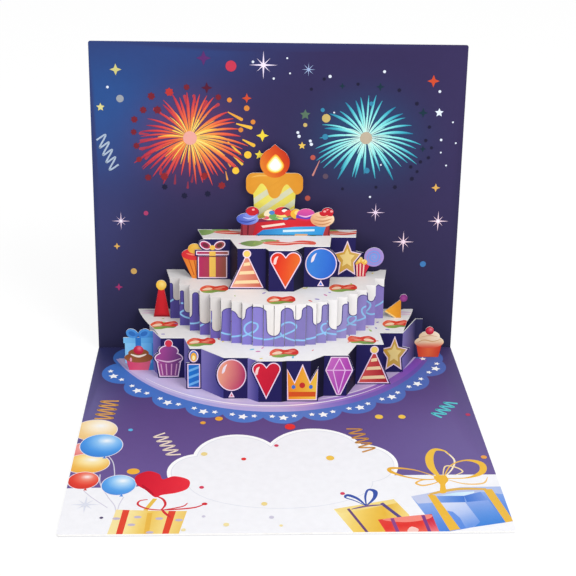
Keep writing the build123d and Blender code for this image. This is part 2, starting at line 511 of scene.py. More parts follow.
def flat_face(triangles: list[tuple[int, int, int]], corners: list[Vector], normal: Vector) -> CardFace:
    """Makes one face of a group of triangles in one plane.

    Args:
        triangles: Corner numbers of each triangle.
        corners: Places of the corners, in metres.
        normal: Direction that the face looks.

    Returns:
        The face.
    """
    level = abs(normal.z) > LEVEL
    across = Vector((1, 0, 0)) if level else Vector((0, 0, 1)).cross(normal).normalized()
    up = normal.cross(across).normalized()
    edges = {(a, b) for t in triangles for a, b in ((t[0], t[1]), (t[1], t[2]), (t[2], t[0]))}
    onward = {}
    for a, b in edges:
        if (b, a) not in edges:
            onward.setdefault(a, []).append(b)
    loops = []
    while onward:
        start = next(iter(onward))
        loop, here = [], start
        while here in onward:
            loop.append((corners[here].dot(across) / MM, corners[here].dot(up) / MM))
            ahead = onward[here]
            step = ahead.pop()
            if not ahead:
                del onward[here]
            here = step
        loops.append(loop)
    loops.sort(key=lambda loop: -abs(area(loop)))
    return CardFace(tuple(loops), across, up, normal, corners[triangles[0][0]].dot(normal))


def front_faces(node: str) -> list[CardFace]:
    """Gives the faces of a node that look forward with the back panel, from left to right."""
    faces = [f for f in card_faces(node) if f.forward() and f.size()[1] > LEAST_FRONT]
    return sorted(faces, key=lambda f: f.middle().x)


def main_front(node: str) -> CardFace:
    """Gives the largest face of a node that looks forward."""
    return max(front_faces(node), key=lambda f: abs(area(f.loops[0])))


def top_face(node: str) -> CardFace:
    """Gives the largest face of a node that looks up."""
    return max((f for f in card_faces(node) if f.normal.z > LEVEL), key=lambda f: abs(area(f.loops[0])))


# Print: fields of ink cut to shape, and the thin films that they make

@dataclass
class Field:
    """One field of ink."""

    outline: Loop
    tint: Tint
    spacing: float = 0.0


@dataclass
class Page:
    """The print on one face: fields of ink, each over the ones before it, cut off at the card's edge."""

    face: CardFace
    ground: Tint
    spacing: float = 0.0
    trim: float = 0.0
    fields: list[Field] = field(default_factory=list)

    def add(self, outline: Loop, tint: Tint | str, spacing: float = 0.0) -> None:
        """Lays a field over the print so far, with inner points where its tint isn't an even fade."""
        self.fields.append(Field(outline, Flat(tint) if isinstance(tint, str) else tint, spacing))

    def add_all(self, outlines: Iterable[Loop], tint: Tint | str) -> None:
        """Lays several fields of one colour."""
        for outline in outlines:
            self.add(outline, tint)

    def blob(self, points: Loop, tint: Tint | str) -> None:
        """Lays a field with a smooth edge through some points."""
        self.add(flow(points, closed=True), tint)

    def line(self, points: Loop, width: float, tint: Tint | str, ends: Point = (1.0, 1.0)) -> None:
        """Draws a smooth pen stroke through some points."""
        self.add_all(stroke(flow(points), width, ends), tint)

    def cut(self) -> tuple[list[Point], list[tuple[tuple[int, ...], Tint]]]:
        """Cuts the fields along each other's edges.

        Returns:
            The points, and each triangle's corners with the tint that shows there.
        """
        edge, *holes = self.face.outlines()
        fields = [Field(grow(edge, -self.trim), self.ground, self.spacing), *self.fields]
        points, outlines = [], []
        for outline in [f.outline for f in fields] + holes:
            outlines.append(list(range(len(points), len(points) + len(outline))))
            points.extend(outline if area(outline) > 0 else outline[::-1])
        for ink in fields:
            points.extend(inner_points(ink))
        found, _, triangles, _, _, origins = delaunay_2d_cdt(
            [Vector(p) for p in points], [], outlines, 1, ONE_POINT)
        places = [(p.x, p.y) for p in found]
        shown = []
        for corners, sources in zip(triangles, origins):
            if 0 in sources and max(sources) < len(fields):
                shown.append((tuple(corners), fields[max(sources)].tint))
        return places, shown


def inner_points(ink: Field) -> Loop:
    """Gives evenly spaced points inside a field.

    Args:
        ink: The field.

    Returns:
        The points, or none where the field has no spacing.
    """
    if not ink.spacing:
        return []
    across, up = [p[0] for p in ink.outline], [p[1] for p in ink.outline]
    columns = int((max(across) - min(across)) / ink.spacing)
    rows = int((max(up) - min(up)) / ink.spacing)
    grid = [(min(across) + ink.spacing * (i + 0.5), min(up) + ink.spacing * (j + 0.5))
            for i in range(columns) for j in range(rows)]
    edge = grow(ink.outline, -EDGE_GAP * ink.spacing)
    return [p for p in grid if inside(edge, *p)]


class Film:
    """A piece of print: thin closed films of ink that lie on one or more faces."""

    def __init__(self, name: str, *pages: Page) -> None:
        """Starts a film.

        Args:
            name: The piece's name.
            pages: The print of each face.
        """
        self.name = name
        self.points: list[Vector] = []
        self.faces: list[tuple[int, ...]] = []
        self.inks: list[Colour] = []
        for page in pages:
            self.lay(page)

    def lay(self, page: Page) -> None:
        """Adds the print of one face.

        Args:
            page: The print.
        """
        places, shown = page.cut()
        used = sorted({corner for corners, _ in shown for corner in corners})
        number = {corner: i for i, corner in enumerate(used)}
        first, count = len(self.points), len(used)
        for lift in (FILM_TOP, FILM_FOOT):
            self.points.extend(page.face.place(*places[corner], lift) for corner in used)
        edges = {(a, b): tint for (c, d, e), tint in shown for a, b in ((c, d), (d, e), (e, c))}
        for corners, tint in shown:
            top = tuple(first + number[corner] for corner in corners)
            inks = [tint.at(*places[corner]) for corner in corners]
            self.faces += [top, tuple(i + count for i in reversed(top))]
            self.inks += inks + inks[::-1]
        for (a, b), tint in edges.items():
            if (b, a) in edges:
                continue
            left, right = first + number[a], first + number[b]
            inks = [tint.at(*places[a]), tint.at(*places[b])]
            self.faces.append((right, left, left + count, right + count))
            self.inks += [inks[1], inks[0], inks[0], inks[1]]

    def piece(self, material: Material) -> Object:
        """Makes the film's object.

        Args:
            material: The print's finish.

        Returns:
            The object, at the origin.
        """
        mesh = bpy.data.meshes.new(self.name)
        mesh.from_pydata(self.points, [], self.faces)
        ink = mesh.color_attributes.new(INK, "FLOAT_COLOR", "CORNER")
        ink.data.foreach_set("color", [share for colour in self.inks for share in linear(colour)])
        mesh.materials.append(material)
        return link_piece(self.name, mesh)


def link_piece(name: str, mesh: Mesh) -> Object:
    """Puts a mesh into the scene.

    Args:
        name: The object's name.
        mesh: The mesh.

    Returns:
        The object, at the origin.
    """
    piece = bpy.data.objects.new(name, mesh)
    bpy.context.scene.collection.objects.link(piece)
    return piece


# Nodes: types and settings that come up often

MATH = "ShaderNodeMath"
JOIN = "ShaderNodeCombineXYZ"
TURN = "FunctionNodeEulerToRotation"
PLUS = {"operation": "ADD"}
MINUS = {"operation": "SUBTRACT"}
TIMES = {"operation": "MULTIPLY"}
OVER = {"operation": "DIVIDE"}
POWER = {"operation": "POWER"}
SCALED = {"operation": "SCALE"}
LARGER = {"operation": "MAXIMUM"}
# Types of a tree's inputs
NUMBER = "NodeSocketFloat"
WHOLE = "NodeSocketInt"
VECTOR = "NodeSocketVector"
# A random number, and the sockets of its least and its most
LUCK = "FunctionNodeRandomValue"
REAL = {"data_type": "FLOAT"}
LEAST, MOST = 2, 3
# A blend of two colours, and their sockets
BLEND = "ShaderNodeMix"
COLOURS = {"data_type": "RGBA"}
UNDER, UPPER = 6, 7


def add_node(tree: NodeTree, kind: str, settings: dict[str, Any] | None = None,
        inputs: dict[str | int, Any] | tuple[Any, ...] = ()) -> Node:
    """Adds a node to a tree.

    Args:
        tree: The tree.
        kind: The node's type.
        settings: Values of its properties.
        inputs: For each named input, or for the first ones in order, a value, an output or node to link
            from, or a list of those.

    Returns:
        The node.
    """
    node = tree.nodes.new(kind)
    for name, value in (settings or {}).items():
        setattr(node, name, value)
    for key, value in inputs.items() if isinstance(inputs, dict) else enumerate(inputs):
        for source in value if isinstance(value, list) else [value]:
            if isinstance(source, Node):
                source = next(s for s in source.outputs if s.enabled)
            if isinstance(source, NodeSocket):
                tree.links.new(source, node.inputs[key])
            else:
                node.inputs[key].default_value = source
    return node


def new_material(name: str) -> tuple[Material, NodeTree]:
    """Starts a material.

    Args:
        name: Its name.

    Returns:
        The material and its empty tree.
    """
    material = bpy.data.materials.new(name)
    material.use_nodes = True
    material.node_tree.nodes.clear()
    return material, material.node_tree


def set_ramp(node: Node, codes: Inks, stepped: bool) -> None:
    """Gives a colour ramp its colours, evenly spaced.

    Args:
        node: The ramp node.
        codes: Hex colours in order.
        stepped: Whether each colour stays even up to the next.
    """
    ramp = node.color_ramp
    ramp.interpolation = "CONSTANT" if stepped else "LINEAR"
    while len(ramp.elements) < len(codes):
        ramp.elements.new(1.0)
    for i, code in enumerate(codes):
        ramp.elements[i].position = i / len(codes) if stepped else i / (len(codes) - 1)
        ramp.elements[i].color = linear(code)


# Finishes

@dataclass(frozen=True)
class PrintedCard:
    """Offset ink on coated card: even satin colour with a faint mottle where ink sinks into the coating."""

    name: str
    roughness: float = 0.5
    sheen: float = 0.06
    mottle_mm: float = 3.5
    mottle: float = 0.018
    mottle_range: Point = (0.3, 0.7)
    grain_mm: float = 0.5
    grain_bump: float = 0.03
    ior: float = 1.5
    specular: float = 0.14

    def material(self) -> Material:
        """Builds the finish.

        Returns:
            The material, which reads its colour from the ink attribute.
        """
        material, tree = new_material(self.name)
        add = partial(add_node, tree)
        place = add("ShaderNodeTexCoord").outputs["Object"]
        cloud = add("ShaderNodeTexNoise", inputs={
            "Vector": place, "Scale": 1 / (self.mottle_mm * MM), "Detail": 3.0})
        level = add("ShaderNodeMapRange", inputs={
            "Value": cloud, "From Min": self.mottle_range[0], "From Max": self.mottle_range[1],
            "To Min": 1 - self.mottle, "To Max": 1 + self.mottle})
        colour = add("ShaderNodeHueSaturation", inputs={
            "Color": add("ShaderNodeAttribute", {"attribute_name": INK}), "Value": level})
        sheen = add("ShaderNodeMapRange", inputs={
            "Value": cloud, "To Min": self.roughness - self.sheen, "To Max": self.roughness + self.sheen})
        # Real coating grain is finer than a pixel, so it is drawn half a millimetre wide
        grain = add("ShaderNodeTexNoise", inputs={
            "Vector": place, "Scale": 1 / (self.grain_mm * MM), "Detail": 2.0})
        bump = add("ShaderNodeBump", inputs={
            "Height": grain, "Strength": self.grain_bump, "Distance": self.grain_mm * MM})
        shader = add("ShaderNodeBsdfPrincipled", inputs={
            "Base Color": colour, "Roughness": sheen, "Normal": bump, "IOR": self.ior,
            "Specular IOR Level": self.specular})
        add("ShaderNodeOutputMaterial", inputs={"Surface": shader})
        return material


@dataclass(frozen=True)
class BareCard:
    """White pulp card where nothing is printed: matt, with faint warm fibres that show at its cut edges."""

    name: str
    pale: str = "#f4f3f1"
    fibre: str = "#e6e3df"
    fibre_mm: float = 1.2
    fibre_stretch: Place = (0.35, 1.0, 1.0)
    fibre_bump: float = 0.06
    fibre_height_mm: float = 0.2
    roughness: float = 0.62
    ior: float = 1.5
    specular: float = 0.2

    def colour(self, tree: NodeTree, place: NodeSocket, bare: Node) -> Node:
        """Leaves the card bare."""
        return bare

    def material(self) -> Material:
        """Builds the finish.

        Returns:
            The material.
        """
        material, tree = new_material(self.name)
        add = partial(add_node, tree)
        place = add("ShaderNodeTexCoord").outputs["Object"]
        drawn_out = add("ShaderNodeMapping", inputs={"Vector": place, "Scale": self.fibre_stretch})
        fibre = add("ShaderNodeTexNoise", inputs={
            "Vector": drawn_out, "Scale": 1 / (self.fibre_mm * MM), "Detail": 4.0})
        ramp = add("ShaderNodeValToRGB", inputs={"Fac": fibre})
        set_ramp(ramp, (self.fibre, self.pale, self.pale), False)
        bump = add("ShaderNodeBump", inputs={
            "Height": fibre, "Strength": self.fibre_bump, "Distance": self.fibre_height_mm * MM})
        shader = add("ShaderNodeBsdfPrincipled", inputs={
            "Base Color": self.colour(tree, place, ramp), "Roughness": self.roughness, "Normal": bump,
            "IOR": self.ior, "Specular IOR Level": self.specular})
        add("ShaderNodeOutputMaterial", inputs={"Surface": shader})
        return material


@dataclass(frozen=True)
class CoverBoard(BareCard):
    """Pulp board whose outside is wrapped in plain violet paper with small pale dots."""

    name: str = "wrapped_pulp_board"
    wrap: str = "#3d3870"
    dot: str = "#cfc6ea"
    dot_mm: float = 11.0
    dot_share: float = 0.09
    lean: float = 8.0
    skin_mm: float = 0.05

    def colour(self, tree: NodeTree, place: NodeSocket, bare: Node) -> Node:
        """Lays the wrap over the bare board, on the two outer faces only.

        Args:
            tree: The material's tree.
            place: Object coordinates.
            bare: The bare board's colour.

        Returns:
            The node that gives the colour.
        """
        add = partial(add_node, tree)
        behind = Vector((0, cos(radians(self.lean)), -sin(radians(self.lean))))
        outer = max(corner.co.dot(behind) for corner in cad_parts["folded_cover"].data.vertices)
        skin = self.skin_mm * MM
        masks = []
        for direction, limit in ((behind, outer - skin), (Vector((0, 0, -1)), -skin)):
            depth = add("ShaderNodeVectorMath", {"operation": "DOT_PRODUCT"}, (place, tuple(direction)))
            masks.append(add(MATH, {"operation": "GREATER_THAN"}, (depth, limit)))
        outside = add(MATH, LARGER, tuple(masks))
        cells = add("ShaderNodeTexVoronoi", inputs={"Vector": place, "Scale": 1 / (self.dot_mm * MM)})
        dotted = add(MATH, {"operation": "LESS_THAN"}, (cells, self.dot_share))
        paper = add(BLEND, COLOURS, {0: dotted, UNDER: linear(self.wrap), UPPER: linear(self.dot)})
        return add(BLEND, COLOURS, {0: outside, UNDER: bare, UPPER: paper})


def straight_rays(tree: NodeTree) -> Node:
    """Tells the camera's, glossy and transmitted rays from the ones that carry light.

    Args:
        tree: The tree that asks.

    Returns:
        The node that gives 1 for those rays and 0 for all others.
    """
    path = add_node(tree, "ShaderNodeLightPath").outputs
    seen = add_node(tree, MATH, LARGER, (path["Is Camera Ray"], path["Is Glossy Ray"]))
    return add_node(tree, MATH, LARGER, (seen, path["Is Transmission Ray"]))


@dataclass(frozen=True)
class StudioPaper:
    """Roll of matt white background paper: white to the eye, and still grey where the card shades it."""

    name: str = "studio_paper"
    colour: str = "#fcfcfc"
    lift: float = 0.75
    glow: float = 1.06

    def material(self) -> Material:
        """Builds the finish.

        Returns:
            The material.
        """
        material, tree = new_material(self.name)
        matt = add_node(tree, "ShaderNodeBsdfDiffuse", inputs={"Color": linear(self.colour)})
        white = add_node(tree, "ShaderNodeEmission", inputs={"Strength": self.glow})
        share = add_node(tree, MATH, TIMES, (straight_rays(tree), self.lift))
        blend = add_node(tree, "ShaderNodeMixShader", inputs=(share, matt, white))
        add_node(tree, "ShaderNodeOutputMaterial", inputs={"Surface": blend})
        return material


# Trees for print that repeats or follows a line

class CardTree:
    """A Geometry Nodes tree whose result is laid on a face and kept as a plain mesh."""

    INPUTS: dict[str, str] = {}

    def __init__(self, name: str, codes: Inks = ("#ffffff", "#ffffff")) -> None:
        """Builds the tree.

        Args:
            name: The tree's name.
            codes: Colours that its shapes take.
        """
        self.codes = codes
        self.tree = bpy.data.node_groups.new(name, "GeometryNodeTree")
        face = self.tree.interface
        face.new_socket("Geometry", in_out="OUTPUT", socket_type="NodeSocketGeometry")
        common = {"Geometry": "NodeSocketGeometry", "Place": VECTOR, "Turn": VECTOR,
                  "Material": "NodeSocketMaterial"}
        for label, kind in (common | self.INPUTS).items():
            face.new_socket(label, in_out="INPUT", socket_type=kind)
        self.add = partial(add_node, self.tree)
        self.size = self.add("NodeGroupInput").outputs
        turn = self.add(TURN, inputs={"Euler": self.size["Turn"]})
        laid = self.add("GeometryNodeTransform", inputs={
            "Geometry": self.shapes(), "Translation": self.size["Place"], "Rotation": turn})
        real = self.add("GeometryNodeRealizeInstances", inputs={"Geometry": laid})
        dressed = self.add("GeometryNodeSetMaterial",
            inputs={"Geometry": real, "Material": self.size["Material"]})
        self.add("NodeGroupOutput", inputs={0: dressed})

    def shapes(self) -> Node:
        """Gives the flat shapes on the floor plane."""
        raise NotImplementedError

    def star_plate(self) -> Node:
        """Makes a thin closed star of the tree's corners, notch and thickness.

        Returns:
            The node that gives it.
        """
        add, size = self.add, self.size
        ring = add("GeometryNodeMeshCircle", {"fill_type": "NGON"}, {
            "Vertices": add(MATH, TIMES, (size["Corners"], 2.0)), "Radius": 1.0})
        inner = add(MATH, {"operation": "MODULO"}, (add("GeometryNodeInputIndex"), 2.0))
        depth = add(MATH, MINUS, (1.0, size["Notch"]))
        pulled = add(MATH, TIMES, (inner, depth))
        scaled = add("ShaderNodeVectorMath", SCALED, {
            "Vector": add("GeometryNodeInputPosition"), "Scale": add(MATH, MINUS, (1.0, pulled))})
        star = add("GeometryNodeSetPosition", inputs={"Geometry": ring, "Position": scaled})
        raised = add("GeometryNodeExtrudeMesh", {"mode": "FACES"}, {
            "Mesh": star, "Offset": (0.0, 0.0, 1.0), "Offset Scale": size["Thickness"], "Individual": False})
        under = add("GeometryNodeFlipFaces", inputs={"Mesh": star})
        both = add("GeometryNodeJoinGeometry", inputs={0: [raised, under]})
        return add("GeometryNodeMergeByDistance", inputs={"Geometry": both, "Distance": 1 / MICRONS})

    def bake(self, name: str, mesh: Mesh, face: CardFace, material: Material,
             sizes: dict[str, Any]) -> Object:
        """Runs the tree and keeps its result.

        Args:
            name: The piece's name.
            mesh: What the tree starts from.
            face: The face that the shapes are laid on.
            material: Their finish.
            sizes: The tree's named inputs.

        Returns:
            The piece, with no modifier left on it.
        """
        piece = link_piece(name, mesh)
        modifier = piece.modifiers.new(name, "NODES")
        modifier.node_group = self.tree
        place, turn = face.axes()
        values = {"Place": tuple(place), "Turn": tuple(turn), "Material": material} | sizes
        for item in self.tree.interface.items_tree:
            if item.in_out == "INPUT" and item.name in values:
                modifier[item.identifier] = values[item.name]
        evaluated = piece.evaluated_get(bpy.context.evaluated_depsgraph_get())
        kept = bpy.data.meshes.new_from_object(evaluated)
        piece.modifiers.remove(modifier)
        piece.data = kept
        kept.name = name
        shell = bmesh.new()
        shell.from_mesh(kept)
        bmesh.ops.recalc_face_normals(shell, faces=shell.faces)
        shell.to_mesh(kept)
        shell.free()
        return piece


class FireworkTree(CardTree):
    """Streaks that spread from a middle, droop and taper."""

    INPUTS = {"Streaks": WHOLE, "Reach": NUMBER, "Start": NUMBER, "Drop": NUMBER, "Squash": NUMBER,
        "Width": NUMBER, "Lean": NUMBER, "Lift": NUMBER}
    POINTS = 12
    SEEDS = (3, 5, 8)
    PROFILE = 0.05
    # Luck's share in a streak's turn, in its length, in how far it is burnt and in its width
    JITTER = 0.4
    SHORTEST = 0.78
    BURNT = (0.8, 0.2)
    STOUT = (0.7, 0.6)
    # Part of a half wave that the width follows, and how late it swells
    SWELL = (0.1, 0.83, 1.5)

    def shapes(self) -> Node:
        """Makes the streaks round the floor plane's origin.

        Returns:
            The node that gives them.
        """
        add, size = self.add, self.size
        points = add("GeometryNodePoints", inputs={"Count": size["Streaks"]})
        shift = add(LUCK, REAL, {LEAST: -self.JITTER, MOST: self.JITTER, "Seed": self.SEEDS[0]})
        number = add(MATH, PLUS, (add("GeometryNodeInputIndex"), shift))
        angle = add(MATH, TIMES, (add(MATH, OVER, (number, size["Streaks"])), tau))
        length = add(LUCK, REAL, {LEAST: self.SHORTEST, MOST: 1.0, "Seed": self.SEEDS[1]})
        reach = add(MATH, TIMES, (size["Reach"], length))
        line = add("GeometryNodeCurvePrimitiveLine", inputs={
            "Start": add(JOIN, inputs={"X": size["Start"]}), "End": (1.0, 0.0, 0.0)})
        fine = add("GeometryNodeResampleCurve", inputs={"Curve": line, "Count": self.POINTS})
        turn = add(TURN, inputs={"Euler": add(JOIN, inputs={"Z": angle})})
        spread = add("GeometryNodeInstanceOnPoints", inputs={
            "Points": points, "Instance": fine, "Rotation": turn,
            "Scale": add(JOIN, inputs={"X": reach, "Y": reach, "Z": reach})})
        streaks = add("GeometryNodeRealizeInstances", inputs={"Geometry": spread})
        # Each point falls with the square of its way out, less where its streak climbs
        place = add("GeometryNodeInputPosition")
        squash = add(JOIN, inputs={"X": 1.0, "Y": size["Squash"], "Z": 1.0})
        squashed = add("ShaderNodeVectorMath", TIMES, (place, squash))
        away = add("ShaderNodeVectorMath", {"operation": "LENGTH"}, {0: place})
        parts = add("ShaderNodeSeparateXYZ", inputs={0: place}).outputs
        far = add(MATH, OVER, (away, size["Reach"]))
        climb = add(MATH, POWER, (add(MATH, OVER, (parts["Y"], away)), 2.0))
        held = add(MATH, TIMES, (far, climb))
        bend = add(MATH, MINUS, (held, add(MATH, POWER, (far, 2.0))))
        fall = add(MATH, TIMES, (size["Drop"], bend))
        drooped = add("GeometryNodeSetPosition", inputs={
            "Geometry": streaks, "Position": squashed,
            "Offset": add(JOIN, inputs={"Y": fall, "Z": size["Lift"]})})
        # The ink burns down along a streak, later on the side that it leans to
        share = add("GeometryNodeSplineParameter").outputs["Factor"]
        luck = add(LUCK, REAL, {
            LEAST: 0.0, MOST: 1.0, "ID": add("GeometryNodeCurveOfPoint"), "Seed": self.SEEDS[2]})
        side = add(MATH, OVER, (parts["X"], away))
        lean = add(MATH, TIMES, (size["Lean"], side))
        spent = add(MATH, TIMES, (share, self.BURNT[0]))
        burnt = add(MATH, PLUS, (spent, add(MATH, TIMES, (luck, self.BURNT[1]))))
        ramp = add("ShaderNodeValToRGB", inputs={"Fac": add(MATH, MINUS, (burnt, lean))})
        set_ramp(ramp, self.codes, False)
        inked = add("GeometryNodeStoreNamedAttribute", {"data_type": "FLOAT_COLOR", "domain": "POINT"}, {
            "Geometry": drooped, "Name": INK, "Value": ramp})
        upright = add("GeometryNodeSetCurveNormal", {"mode": "Z_UP"}, {"Curve": inked})
        profile = add("GeometryNodeCurvePrimitiveQuadrilateral",
            inputs={"Width": 1.0, "Height": self.PROFILE})
        start, span, late = self.SWELL
        swell = add(MATH, TIMES, (add(MATH, POWER, (share, late)), span))
        wave = add(MATH, TIMES, (add(MATH, PLUS, (start, swell)), pi))
        belly = add(MATH, {"operation": "SINE"}, {0: wave})
        stout = add(MATH, PLUS, (self.STOUT[0], add(MATH, TIMES, (luck, self.STOUT[1]))))
        width = add(MATH, TIMES, (size["Width"], stout))
        return add("GeometryNodeCurveToMesh", inputs={
            "Curve": upright, "Profile Curve": profile, "Scale": add(MATH, TIMES, (width, belly)),
            "Fill Caps": True})


class ScatterTree(CardTree):
    """Small stars, dots or dashes scattered over a zone."""

    INPUTS = {"Corners": WHOLE, "Notch": NUMBER, "Thickness": NUMBER, "Density": NUMBER, "Smallest": NUMBER,
        "Largest": NUMBER, "Stretch": NUMBER, "Seed": WHOLE}
    SEEDS = (2, 4, 6)

    def shapes(self) -> Node:
        """Makes the shapes on the zone.

        Returns:
            The node that gives them.
        """
        add, size = self.add, self.size
        points = add("GeometryNodeDistributePointsOnFaces", inputs={
            "Mesh": size["Geometry"], "Density": size["Density"], "Seed": size["Seed"]})
        luck = add(LUCK, REAL, {LEAST: 0.0, MOST: 1.0, "Seed": self.SEEDS[0]})
        span = add(MATH, MINUS, (size["Largest"], size["Smallest"]))
        reach = add(MATH, PLUS, (size["Smallest"], add(MATH, TIMES, (luck, span))))
        angle = add(LUCK, REAL, {LEAST: 0.0, MOST: tau, "Seed": self.SEEDS[1]})
        turn = add(TURN, inputs={"Euler": add(JOIN, inputs={"Z": angle})})
        long = add(MATH, TIMES, (reach, size["Stretch"]))
        placed = add("GeometryNodeInstanceOnPoints", inputs={
            "Points": points, "Instance": self.star_plate(), "Rotation": turn,
            "Scale": add(JOIN, inputs={"X": long, "Y": reach, "Z": 1.0})})
        pick = add(LUCK, REAL, {LEAST: 0.0, MOST: 1.0, "Seed": self.SEEDS[2]})
        ramp = add("ShaderNodeValToRGB", inputs={"Fac": pick})
        set_ramp(ramp, self.codes, True)
        return add("GeometryNodeStoreNamedAttribute", {"data_type": "FLOAT_COLOR", "domain": "INSTANCE"}, {
            "Geometry": placed, "Name": INK, "Value": ramp})


class SpotTree(CardTree):
    """Stars or dots at given points, each with its own size, turn and ink."""

    INPUTS = {"Corners": WHOLE, "Notch": NUMBER, "Thickness": NUMBER}

    def shapes(self) -> Node:
        """Makes the shapes at the points.

        Returns:
            The node that gives them.
        """
        add = self.add
        reach = add("GeometryNodeInputNamedAttribute", REAL, {"Name": "reach"})
        lean = add("GeometryNodeInputNamedAttribute", REAL, {"Name": "lean"})
        turn = add(TURN, inputs={"Euler": add(JOIN, inputs={"Z": lean})})
        return add("GeometryNodeInstanceOnPoints", inputs={
            "Points": self.size["Geometry"], "Instance": self.star_plate(), "Rotation": turn,
            "Scale": add(JOIN, inputs={"X": reach, "Y": reach, "Z": 1.0})})


class StreamerTree(CardTree):
    """A paper streamer: a ribbon that swings from side to side along a line."""

    INPUTS = {"Start": VECTOR, "End": VECTOR, "Swings": WHOLE, "Swing": VECTOR, "Width": NUMBER,
        "Ink": "NodeSocketColor"}
    PROFILE = 0.03

    def shapes(self) -> Node:
        """Makes the streamer.

        Returns:
            The node that gives it.
        """
        add, size = self.add, self.size
        line = add("GeometryNodeCurvePrimitiveLine", inputs={"Start": size["Start"], "End": size["End"]})
        bent = add("GeometryNodeResampleCurve", inputs={"Curve": line, "Count": size["Swings"]})
        odd = add(MATH, {"operation": "MODULO"}, (add("GeometryNodeInputIndex"), 2.0))
        side = add(MATH, MINUS, (add(MATH, TIMES, (odd, 2.0)), 1.0))
        swing = add("ShaderNodeVectorMath", SCALED, {"Vector": size["Swing"], "Scale": side})
        zigzag = add("GeometryNodeSetPosition", inputs={"Geometry": bent, "Offset": swing})
        rounded = add("GeometryNodeCurveSplineType", {"spline_type": "CATMULL_ROM"}, {"Curve": zigzag})
        fine = add("GeometryNodeResampleCurve", {"mode": "EVALUATED"}, {"Curve": rounded})
        upright = add("GeometryNodeSetCurveNormal", {"mode": "Z_UP"}, {"Curve": fine})
        profile = add("GeometryNodeCurvePrimitiveQuadrilateral",
            inputs={"Width": 1.0, "Height": self.PROFILE})
        paper = add("GeometryNodeCurveToMesh", inputs={
            "Curve": upright, "Profile Curve": profile, "Scale": size["Width"], "Fill Caps": True})
        return add("GeometryNodeStoreNamedAttribute", {"data_type": "FLOAT_COLOR", "domain": "POINT"}, {
            "Geometry": paper, "Name": INK, "Value": size["Ink"]})


def zone_mesh(name: str, outline: Loop, lift: float) -> Mesh:
    """Makes one flat face on the floor plane for a scatter to cover.

    Args:
        name: The mesh's name.
        outline: The face's edge, in millimetres.
        lift: Height over the card, in millimetres.

    Returns:
        The mesh.
    """
    mesh = bpy.data.meshes.new(name)
    mesh.from_pydata([(x * MM, y * MM, lift * MM) for x, y in outline], [], [tuple(range(len(outline)))])
    return mesh


@dataclass(frozen=True)
class Spot:
    """One star or dot: its place and reach in millimetres, its ink and its turn in degrees."""

    x: float
    y: float
    reach: float
    code: str
    turn: float = 90.0


def spot_mesh(name: str, spots: Iterable[Spot], lift: float) -> Mesh:
    """Makes the points that stars or dots stand at.

    Args:
        name: The mesh's name.
        spots: The stars or dots.
        lift: Height over the card, in millimetres.

    Returns:
        The mesh, with each point's reach, turn and ink.
    """
    spots = list(spots)
    mesh = bpy.data.meshes.new(name)
    # Neighbours in the list may cross, so every second one lies a film higher
    mesh.from_pydata([(s.x * MM, s.y * MM, (lift + SPOT_STEP * (k % 2)) * MM)
        for k, s in enumerate(spots)], [], [])
    mesh.attributes.new("reach", "FLOAT", "POINT").data.foreach_set("value", [s.reach * MM for s in spots])
    mesh.attributes.new("lean", "FLOAT", "POINT").data.foreach_set("value", [radians(s.turn) for s in spots])
    ink = mesh.attributes.new(INK, "FLOAT_COLOR", "POINT")
    ink.data.foreach_set("color", [share for s in spots for share in linear(s.code)])
    return mesh


@dataclass
class Workshop:
    """The finishes and trees that every part of the card is printed with."""

    cover: Material
    card: Material
    spots: SpotTree
    streamers: StreamerTree

    def stars(self, name: str, spots: Iterable[Spot], face: CardFace, lift: float, corners: int,
              notch: float) -> Object:
        """Prints stars on the cover, whose inner corners have a share of the reach, the notch."""
        sizes = {"Corners": corners, "Notch": notch, "Thickness": SPOT_FILM * MM}
        return self.spots.bake(name, spot_mesh(name, spots, lift), face, self.cover, sizes)

    def streamer(self, name: str, face: CardFace, start: Point, end: Point, swing: Point, swings: int,
            width: float, code: str) -> Object:
        """Prints a streamer on the cover.

        Args:
            name: The piece's name.
            face: The face that it is printed on.
            start: One end, in millimetres.
            end: The other end.
            swing: Half of one swing.
            swings: Number of turns.
            width: The ribbon's width.
            code: Its ink.

        Returns:
            The piece.
        """
        sizes = {
            "Start": (start[0] * MM, start[1] * MM, STAR_LIFT * MM),
            "End": (end[0] * MM, end[1] * MM, STAR_LIFT * MM),
            "Swing": (swing[0] * MM, swing[1] * MM, 0.0), "Swings": swings, "Width": width * MM,
            "Ink": linear(code)}
        return self.streamers.bake(name, bpy.data.meshes.new(name), face, self.cover, sizes)


@dataclass
class CardStock:
    """The bare board and card that show at every edge, fold and unprinted side."""

    board: CoverBoard = CoverBoard()
    card: BareCard = BareCard("pulp_card")

    def dress(self) -> None:
        """Gives each CAD node its bare card."""
        board, card = self.board.material(), self.card.material()
        for name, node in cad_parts.items():
            finish = board if name == "folded_cover" else card
            node.data.materials.clear()
            node.data.materials.append(finish)
            log.info("dressed %s", name)


# Spots of the sky by ink: place and reach of each, in millimetres
SKY_SPARKLES = {
    "#ecdff6": ((-8.5, 158.4, 7.5),), "#ead0ea": ((-85.5, 73.5, 5), (53.9, 78.9, 5.2)),
    "#f6d8e8": ((88.8, 74.2, 5.8), (70, 62.3, 6.2)),
}
SKY_DIAMONDS = {
    "#cdc67e": ((-86.1, 155.3, 3.1),), "#efd43e": ((-8.7, 121, 3.4),),
    "#cc4a2c": ((82.2, 150.9, 3.3), (-17.2, 140.9, 2.6)),
    "#dcab58": ((86.5, 93, 2.4), (-88.1, 59.3, 1.9)), "#5a2a6c": ((-40, 161.7, 3.9),),
    "#541630": ((-38.4, 146.2, 3),),
    "#15303f": ((77.5, 133.9, 2.6), (53.9, 147.6, 2.2), (33.6, 147.8, 1.7), (78.3, 114.4, 1.8)),
    "#a02f68": ((-87.7, 35.8, 2.2),),
}
